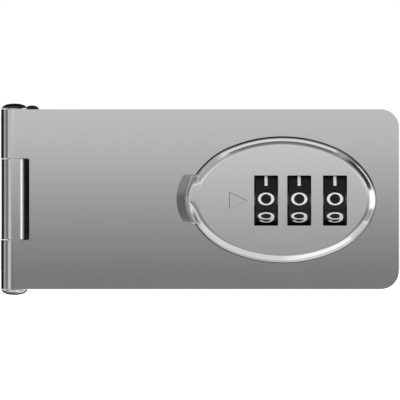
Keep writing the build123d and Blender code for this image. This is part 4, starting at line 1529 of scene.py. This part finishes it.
    def print_on(self, number: int, x: float) -> Object:
        """Wrap the ten digits round one wheel as thin raised print.

        Args:
            number: Number of the wheel, from the hinge.
            x: Place of its middle along X.

        Returns:
            The print.
        """
        vertices: list[Triple] = []
        faces: list[Face] = []
        for digit in range(self.steps):
            points, flat_faces = self.glyph(digit)
            base, count = len(vertices), len(points)
            for level in (self.radius - self.print_root, self.radius + self.print_height):
                for across, up in points:
                    angle = 2 * pi / self.steps * digit + (up + self.digit_lift) / self.radius
                    depth = self.layout.dial_depth + level * cos(angle)
                    vertices.append(in_plan(x + across, depth, level * sin(angle)))
            edges: dict[tuple[int, int], None] = {}
            for face in flat_faces:
                faces.append([base + i for i in reversed(face)])
                faces.append([base + count + i for i in face])
                edges.update(dict.fromkeys(zip(face, [*face[1:], face[0]])))
            for i, j in edges:
                if (j, i) not in edges:  # an open side of the print
                    faces.append((base + i, base + j, base + count + j, base + count + i))
        printed = closed_mesh(f"digits_{number}", vertices, faces)
        printed.data.shade_flat()
        return printed

    def build(self) -> None:
        """Build and dress the wheels and their digits."""
        for number, x in enumerate(self.layout.dial_xs, start=1):
            wheel, printed = self.wheel(number, x), self.print_on(number, x)
            wheel.data.materials.append(self.finishes.dial)
            printed.data.materials.append(self.finishes.digit)
            self.place(wheel, f"dial_{number}", "dial_black", f"dial_{number}")
            self.place(printed, f"dial_{number}", "dial_black")


@dataclass
class Fasteners(Assembly):
    """Slotted screws of the back cover and the hexagon nuts on the plate's studs."""

    screw_places: tuple[Pair, ...] = ((38.5, 10.6), (78.8, 6.6), (78.8, -6.6), (49.0, -14.4))
    screw_back: float = 1.0
    screw: dict[str, float] = field(
        default_factory=lambda: {
            "Head Radius": 1.9, "Head Height": 0.7, "Taper": 0.2, "Shank Radius": 1.0,
            "Length": 7.0, "Slot Width": 0.5, "Slot Depth": 0.35,
        }
    )
    nut: dict[str, float] = field(
        default_factory=lambda: {
            "Corner Radius": 2.75 / cos(pi / 6), "Height": 1.8, "Bore": 1.5, "Face Radius": 2.75,
        }
    )
    nut_seat: float = 15.2
    nut_slope: float = 3.4
    round_sides: int = 64

    def screw_tree(self) -> Pattern:
        """Tree of a flat slotted screw, repeated at its places.

        Returns:
            The tree.
        """
        tree = Pattern("cover_screw", list(self.screw))
        radius, height, taper, shank_radius, length, slot_width, slot_depth = tree.sizes
        disc = tree.bar(radius, height, 0.0, self.round_sides)
        narrow = radius - taper
        cone = tree.cone(narrow, narrow + height * 2.0, height * 2.0, self.round_sides)
        shank = tree.bar(shank_radius, length - height * 0.5, height * 0.5, self.round_sides // 2)
        screw = tree.joined(Join.ADD, tree.joined(Join.KEEP, disc, cone), shank)
        blade_size = tree.vector(radius * 3.0, slot_depth * 2.0, slot_width)
        blade = tree.run("GeometryNodeMeshCube", None, Size=blade_size)
        tree.close(tree.joined(Join.CUT, screw, blade))
        return tree

    def nut_tree(self) -> Pattern:
        """Tree of a chamfered hexagon nut, repeated at its places.

        Returns:
            The tree.
        """
        tree = Pattern("stud_nut", list(self.nut))
        radius, height, bore, face_radius = tree.sizes
        block = tree.bar(radius, height, 0.0, 6)
        wide = face_radius + height * self.nut_slope
        body = tree.joined(Join.KEEP, block, tree.cone(face_radius, wide, height * 2.0, self.round_sides))
        tree.close(tree.joined(Join.CUT, body, tree.bar(bore, height * 2.0, height * -0.5, 40)))
        return tree

    def build(self) -> None:
        """Build and dress the screws and nuts."""
        nut_back = self.nut_seat - self.nut["Height"]
        screw_tree, nut_tree, lugs = self.screw_tree(), self.nut_tree(), self.layout.lug_places()
        plans = (
            ("slotted_screws", screw_tree, self.screw, self.screw_places, self.screw_back, "cover_screws"),
            ("hexagon_nuts", nut_tree, self.nut, lugs, nut_back, "stud_nuts"),
        )
        for name, tree, sizes, places, back, node in plans:
            scaled = {size: value * MM for size, value in sizes.items()}
            spots = [in_plan(x, back, z) for x, z in places]
            piece = tree.make(name, spots, self.finishes.fastener, scaled)
            soften(piece, 0.0)
            self.place(piece, Body.HASP, "fastener_steel", node)


@dataclass
class CoilSprings(Assembly):
    """Round-wire coils that return the latch slide and the dial shaft.

    Each has a start and end along X, a radius, turns, and its axis at (depth, z).
    """

    wire: float = 0.2
    slide_coil: tuple[float, ...] = (51.079, 60.924, 1.3, 7.0, 14.0, -13.91)
    shaft_coil: tuple[float, ...] = (77.122, 79.858, 2.55, 3.0, 12.45, 0.0)
    turn_steps: int = 28
    wire_sides: int = 10

    def tree(self) -> Pattern:
        """Tree that sweeps a round wire along a coil with its axis along X.

        Returns:
            The tree.
        """
        tree = Pattern("coil_spring", ("Radius", "Length", "Turns", "Wire"))
        radius, length, turns, wire = tree.sizes
        coil = {"Start_Radius": radius, "End_Radius": radius, "Height": length - wire * 2.0}
        path = tree.run(
            "GeometryNodeCurveSpiral", None, Resolution=self.turn_steps, Rotations=turns, **coil
        )
        section = tree.run(
            "GeometryNodeCurvePrimitiveCircle", {"mode": "RADIUS"}, Resolution=self.wire_sides, Radius=wire
        )
        lines = {"Curve": path, "Profile_Curve": section}
        swept = tree.run("GeometryNodeCurveToMesh", None, **lines, Fill_Caps=True)
        place = {"Translation": tree.vector(wire, 0.0, 0.0), "Rotation": (0, pi / 2, 0)}
        tree.close(tree.run("GeometryNodeTransform", None, Geometry=swept, **place))
        return tree

    def build(self) -> None:
        """Build and dress both coils."""
        tree = self.tree()
        plans = (
            ("slide_coil", self.slide_coil, "slide_spring", Body.RELEASE),
            ("shaft_coil", self.shaft_coil, "shaft_spring", Body.SHAFT),
        )
        for name, (start, end, radius, turns, *axis), node, moving in plans:
            sizes = {"Radius": radius * MM, "Length": (end - start) * MM, "Wire": self.wire * MM}
            places = [in_plan(start, *axis)]
            coil = tree.make(name, places, self.finishes.spring, {**sizes, "Turns": turns})
            coil.data.shade_smooth()
            in_plan(start, *axis)
            in_plan(end, *axis)
            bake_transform(coil)
            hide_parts(node)
            log.info("%s: %d faces", name, len(coil.data.polygons))


@dataclass
class Mechanism(Assembly):
    """CAD nodes that keep their shape and only get their materials."""

    nodes: dict[str, tuple[str, ...]] = field(
        default_factory=lambda: {
            "cover": ("back_cover",),
            "fastener": ("tab_rivets", "detent_rivets"),
            "brass": ("sleeve_spacers", "sleeve_1", "sleeve_2", "sleeve_3"),
            "shaft": ("dial_shaft",),
            "slide": ("latch_slide", "reset_slide"),
            "spring": ("detent_spring",),
        }
    )

    def build(self) -> None:
        """Give each remaining CAD node its material."""
        for finish, nodes in self.nodes.items():
            for node in nodes:
                obj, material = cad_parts[node], getattr(self.finishes, finish)
                if not obj.material_slots:
                    obj.data.materials.append(material)
                for material_slot in obj.material_slots:
                    material_slot.material = material
                log.info("%s: material %s", node, material.name)


# Studio


@dataclass
class StudioCard:
    """Soft-edged card round the lock, bright or dark, seen only in reflections and as light.

    A flat card stands in front of the lock and its ranges are millimetres. Any other card is
    part of a tent: the first range is the angle round the view axis, anticlockwise from the
    right, and the second is the angle away from the axis, both in degrees.
    """

    name: str
    across: Pair
    up: Pair
    profile: Sequence[Pair]
    radius: float = 1.0
    soft: Pair = (0.15, 0.15)
    flat: bool = False
    centre: Triple = (0.05, -0.019, 0.0)
    columns: int = 24
    rows: int = 12

    def point(self, across: float, up: float) -> Triple:
        """Find a place on the card.

        Args:
            across: Position in its first range.
            up: Position in its second range.

        Returns:
            The place in metres.
        """
        x, y, z = self.centre
        if self.flat:
            return (across * MM, y - self.radius, up * MM)
        turn, away = radians(across), radians(up)
        side = self.radius * sin(away)
        return (x + side * cos(turn), y - self.radius * cos(away), z + side * sin(turn))

    def build(self) -> None:
        """Build the card, hidden from camera and shadow rays."""
        steps = [(c, r) for r in range(self.rows + 1) for c in range(self.columns + 1)]
        shares = [(c / self.columns, r / self.rows) for c, r in steps]
        (left, right), (low, high) = self.across, self.up
        vertices = [self.point(left + (right - left) * u, low + (high - low) * v) for u, v in shares]
        faces, width = [], self.columns + 1
        for row in range(self.rows):
            for first in range(row * width, row * width + self.columns):
                faces.append((first, first + 1, first + width + 1, first + width))
        card = add_mesh(self.name, vertices, faces)
        layer = card.data.uv_layers.new(name="card")
        for loop in card.data.loops:
            layer.data[loop.index].uv = shares[loop.vertex_index]
        card.data.materials.append(self.material())
        card.visible_camera = False
        card.visible_shadow = False

    def material(self) -> Material:
        """Glow by height on the card, fading out at its edges.

        Returns:
            The material.
        """
        graph = Graph(self.name)
        graph.tree.nodes.remove(graph.shader)
        uv = graph.node("ShaderNodeUVMap", {"uv_map": "card"})
        split = graph.node("ShaderNodeSeparateXYZ", None, Vector=graph.signal(uv, "UV"))
        u, v = graph.signal(split, "X"), graph.signal(split, "Y")
        peak = max(strength for _, strength in self.profile) or 1.0
        ramp = graph.node("ShaderNodeValToRGB", None, Fac=v)
        stops = ramp.color_ramp.elements
        while len(stops) < len(self.profile):
            stops.new(0.5)
        for stop, (height, strength) in zip(stops, sorted(self.profile)):
            stop.position = height
            stop.color = (strength / peak,) * 3 + (1.0,)
        glow = graph.node("ShaderNodeEmission", None, Strength=graph.signal(ramp, "Color") * peak)
        side, end = self.soft
        mask = v.ramp(0, end) * (1 - v).ramp(0, end)
        if side:
            mask = mask * u.ramp(0, side) * (1 - u).ramp(0, side)
        graph.mixed(mask, graph.node("ShaderNodeBsdfTransparent"), glow)
        return graph.material


@dataclass
class Studio:
    """White surround, pale floor, reflection cards, front lamp and camera."""

    layout: Layout
    camera_x: float = 0.031044
    camera_z: float = -0.00022
    distance: float = 2.0
    view_width: float = 0.12054
    sensor: float = 36.0
    fill: float = 0.9
    floor_z: float = -0.064
    floor_half: float = 4.0
    lamp_size: Pair = (1.4, 1.0)
    lamp_y: float = -1.4
    lamp_power: float = 17.5
    lamp_z: float = 0.02
    floor_grey: float = 0.86
    floor_glow: float = 0.72
    front_glow: tuple[Pair, ...] = (
        (0.0, 0.9), (0.12, 0.9), (0.22, 0.45), (0.3, 0.24), (0.37, 0.2), (0.44, 0.35), (0.5, 0.49),
        (0.6, 0.77), (0.66, 0.92), (0.7, 0.74), (0.77, 0.4), (0.85, 0.26), (1.0, 0.3),
    )
    strip_glow: tuple[Pair, ...] = ((0.0, 0.95), (0.35, 1.0), (0.48, 1.6), (0.75, 1.8), (1.0, 1.0))
    lower_glow: tuple[Pair, ...] = ((0.0, 1.2), (0.55, 1.15), (0.66, 0.5), (0.8, 1.0), (1.0, 1.1))

    def seen(self, tree: Tree) -> Signal:
        """1 for camera, glossy and transmission rays.

        Args:
            tree: The tree that asks.

        Returns:
            The sum of the three.
        """
        path = tree.node("ShaderNodeLightPath")
        names = ("Is Camera Ray", "Is Glossy Ray", "Is Transmission Ray")
        camera, glossy, clear = (tree.signal(path, name) for name in names)
        return camera + glossy + clear

    def world(self) -> None:
        """White to the camera and to clear reflections, a little less as light."""
        world = bpy.data.worlds.new("studio_white")
        bpy.context.scene.world = world
        world.use_nodes = True
        world.node_tree.nodes.clear()
        tree = Tree(world.node_tree)
        strength = self.fill + self.seen(tree) * (1.0 - self.fill)
        background = tree.node("ShaderNodeBackground", None, Color=WHITE, Strength=strength)
        tree.node("ShaderNodeOutputWorld", None, Surface=background.outputs["Background"])

    def floor(self) -> None:
        """Pale floor below the lock, clear from underneath."""
        corners = rectangle(-self.floor_half, self.floor_half, -self.floor_half, self.floor_half)
        floor = add_mesh("floor", [(x, y, self.floor_z) for x, y in corners], [(0, 1, 2, 3)])
        graph = Graph("floor_white")
        graph.shade(Base_Color=(self.floor_grey,) * 3 + (1.0,), Roughness=0.9)
        graph.shade(Emission_Color=WHITE, Emission_Strength=self.seen(graph) * self.floor_glow)
        side = graph.signal(graph.node("ShaderNodeNewGeometry"), "Backfacing")
        graph.mixed(side, graph.shader, graph.node("ShaderNodeBsdfTransparent"))
        floor.data.materials.append(graph.material)
        floor.visible_glossy = False

    def lamp(self) -> None:
        """Broad lamp from the front that lights paint and plastic but leaves the metal alone."""
        data = bpy.data.lights.new("front_lamp", "AREA")
        data.shape = "RECTANGLE"
        data.size, data.size_y = self.lamp_size
        data.energy = self.lamp_power
        lamp = add_object("front_lamp", data)
        lamp.location = (self.camera_x, self.lamp_y, self.lamp_z)
        lamp.rotation_euler = (pi / 2, 0, 0)
        lamp.visible_glossy = False
        lamp.visible_camera = False

    def cards(self) -> None:
        """Reflection cards: a graded one in front and a tent of sectors round the lock."""
        plans = (
            ("card_front", (-120, 190), (-105, 105), self.front_glow, 0.15, (0.08, 0.06), True),
            ("front_left", (-130, 22), (50, 120), [(0, 0.5), (1, 0.4)], 0.14, (0.12, 0.15), True),
            ("top_dark", (55, 122), (20, 64), [(0, 0.34), (0.5, 0.16), (1, 0.17)], 0.9, (0.15, 0.1)),
            ("top_bright", (45, 135), (60, 110), [(0, 0.85), (1, 0.85)], 1.1, (0.1, 0.1)),
            ("top_back", (35, 145), (106, 168), [(0, 0.02), (1, 0.02)], 1.0, (0.08, 0.08)),
            ("upper_left", (118, 184), (16, 95), [(0, 0.5), (0.6, 0.46), (1, 0.45)], 1.0),
            ("upper_right", (42, 64), (18, 110), [(0, 0.42), (1, 0.42)], 1.0),
            ("flag_right", (10, 56), (12, 84), [(0, 0.03), (1, 0.05)], 0.9, (0.18, 0.12)),
            ("strip_right", (-12, 14), (15, 100), self.strip_glow, 0.8, (0.2, 0.08)),
            ("right_low", (-32, -10), (14, 95), [(0, 0.42), (1, 0.42)], 0.9, (0.2, 0.1)),
            ("right_lower", (-50, -30), (14, 110), [(0, 0.66), (1, 0.75)], 0.95, (0.2, 0.1)),
            ("lower_right", (-86, -40), (12, 132), self.lower_glow, 1.0, (0.15, 0.06)),
            ("lower_left", (-170, -84), (12, 92), [(0, 0.76), (1, 0.8)], 1.1, (0.1, 0.1)),
            ("lower_back", (-165, -80), (90, 132), [(0, 0.2), (0.4, 0.2), (1, 0.4)], 1.1, (0.1, 0.15)),
            ("under_back", (-192, 12), (126, 172), [(0, 0.02), (1, 0.02)], 1.15, (0.05, 0.1)),
            ("left_bright", (172, 190), (28, 62), [(0, 0.72), (1, 0.75)], 0.9, (0.2, 0.2)),
            ("left_dark", (170, 216), (58, 86), [(0, 0.2), (1, 0.22)], 0.8, (0.12, 0.2)),
            ("left_side", (168, 192), (80, 108), [(0, 0.62), (1, 0.5)], 1.0, (0.15, 0.15)),
            ("left_back", (170, 190), (100, 172), [(0, 0.01), (1, 0.0)], 0.9, (0.15, 0.06)),
            ("rear_ring", (0, 360), (150, 171), [(0, 0.03), (1, 0.03)], 1.2, (0.0, 0.15)),
        )
        for plan in plans:
            StudioCard(*plan).build()

    def camera(self) -> None:
        """Camera straight in front of the plate."""
        data = bpy.data.cameras.new("front_camera")
        data.sensor_width = self.sensor
        data.lens = self.sensor * self.distance / self.view_width
        camera = add_object("front_camera", data)
        front = -self.layout.plate_front * MM
        camera.location = (self.camera_x, front - self.distance, self.camera_z)
        camera.rotation_euler = (pi / 2, 0, 0)
        bpy.context.scene.camera = camera

    def build(self) -> None:
        """Set up the whole studio."""
        for part in (self.world, self.floor, self.cards, self.lamp, self.camera):
            part()
        bpy.context.scene.view_settings.view_transform = "Standard"


def main() -> None:
    """Build every piece in order, then the studio."""
    logging.basicConfig(level=logging.INFO, format="%(message)s")
    layout = Layout()
    finishes = Finishes()
    case = LockCase(layout, finishes)
    tab = ReleaseTab(layout, finishes, case)
    first = [kind(layout, finishes) for kind in (HaspPlate, FixedLeaf, HingePins)]
    last = [kind(layout, finishes) for kind in (NumberWheels, Fasteners, CoilSprings, Mechanism)]
    for assembly in [*first, case, tab, *last]:
        assembly.build()
        log.info("%s is done", type(assembly).__name__)
    Studio(layout).build()


if __name__ == "__main__":
    main()
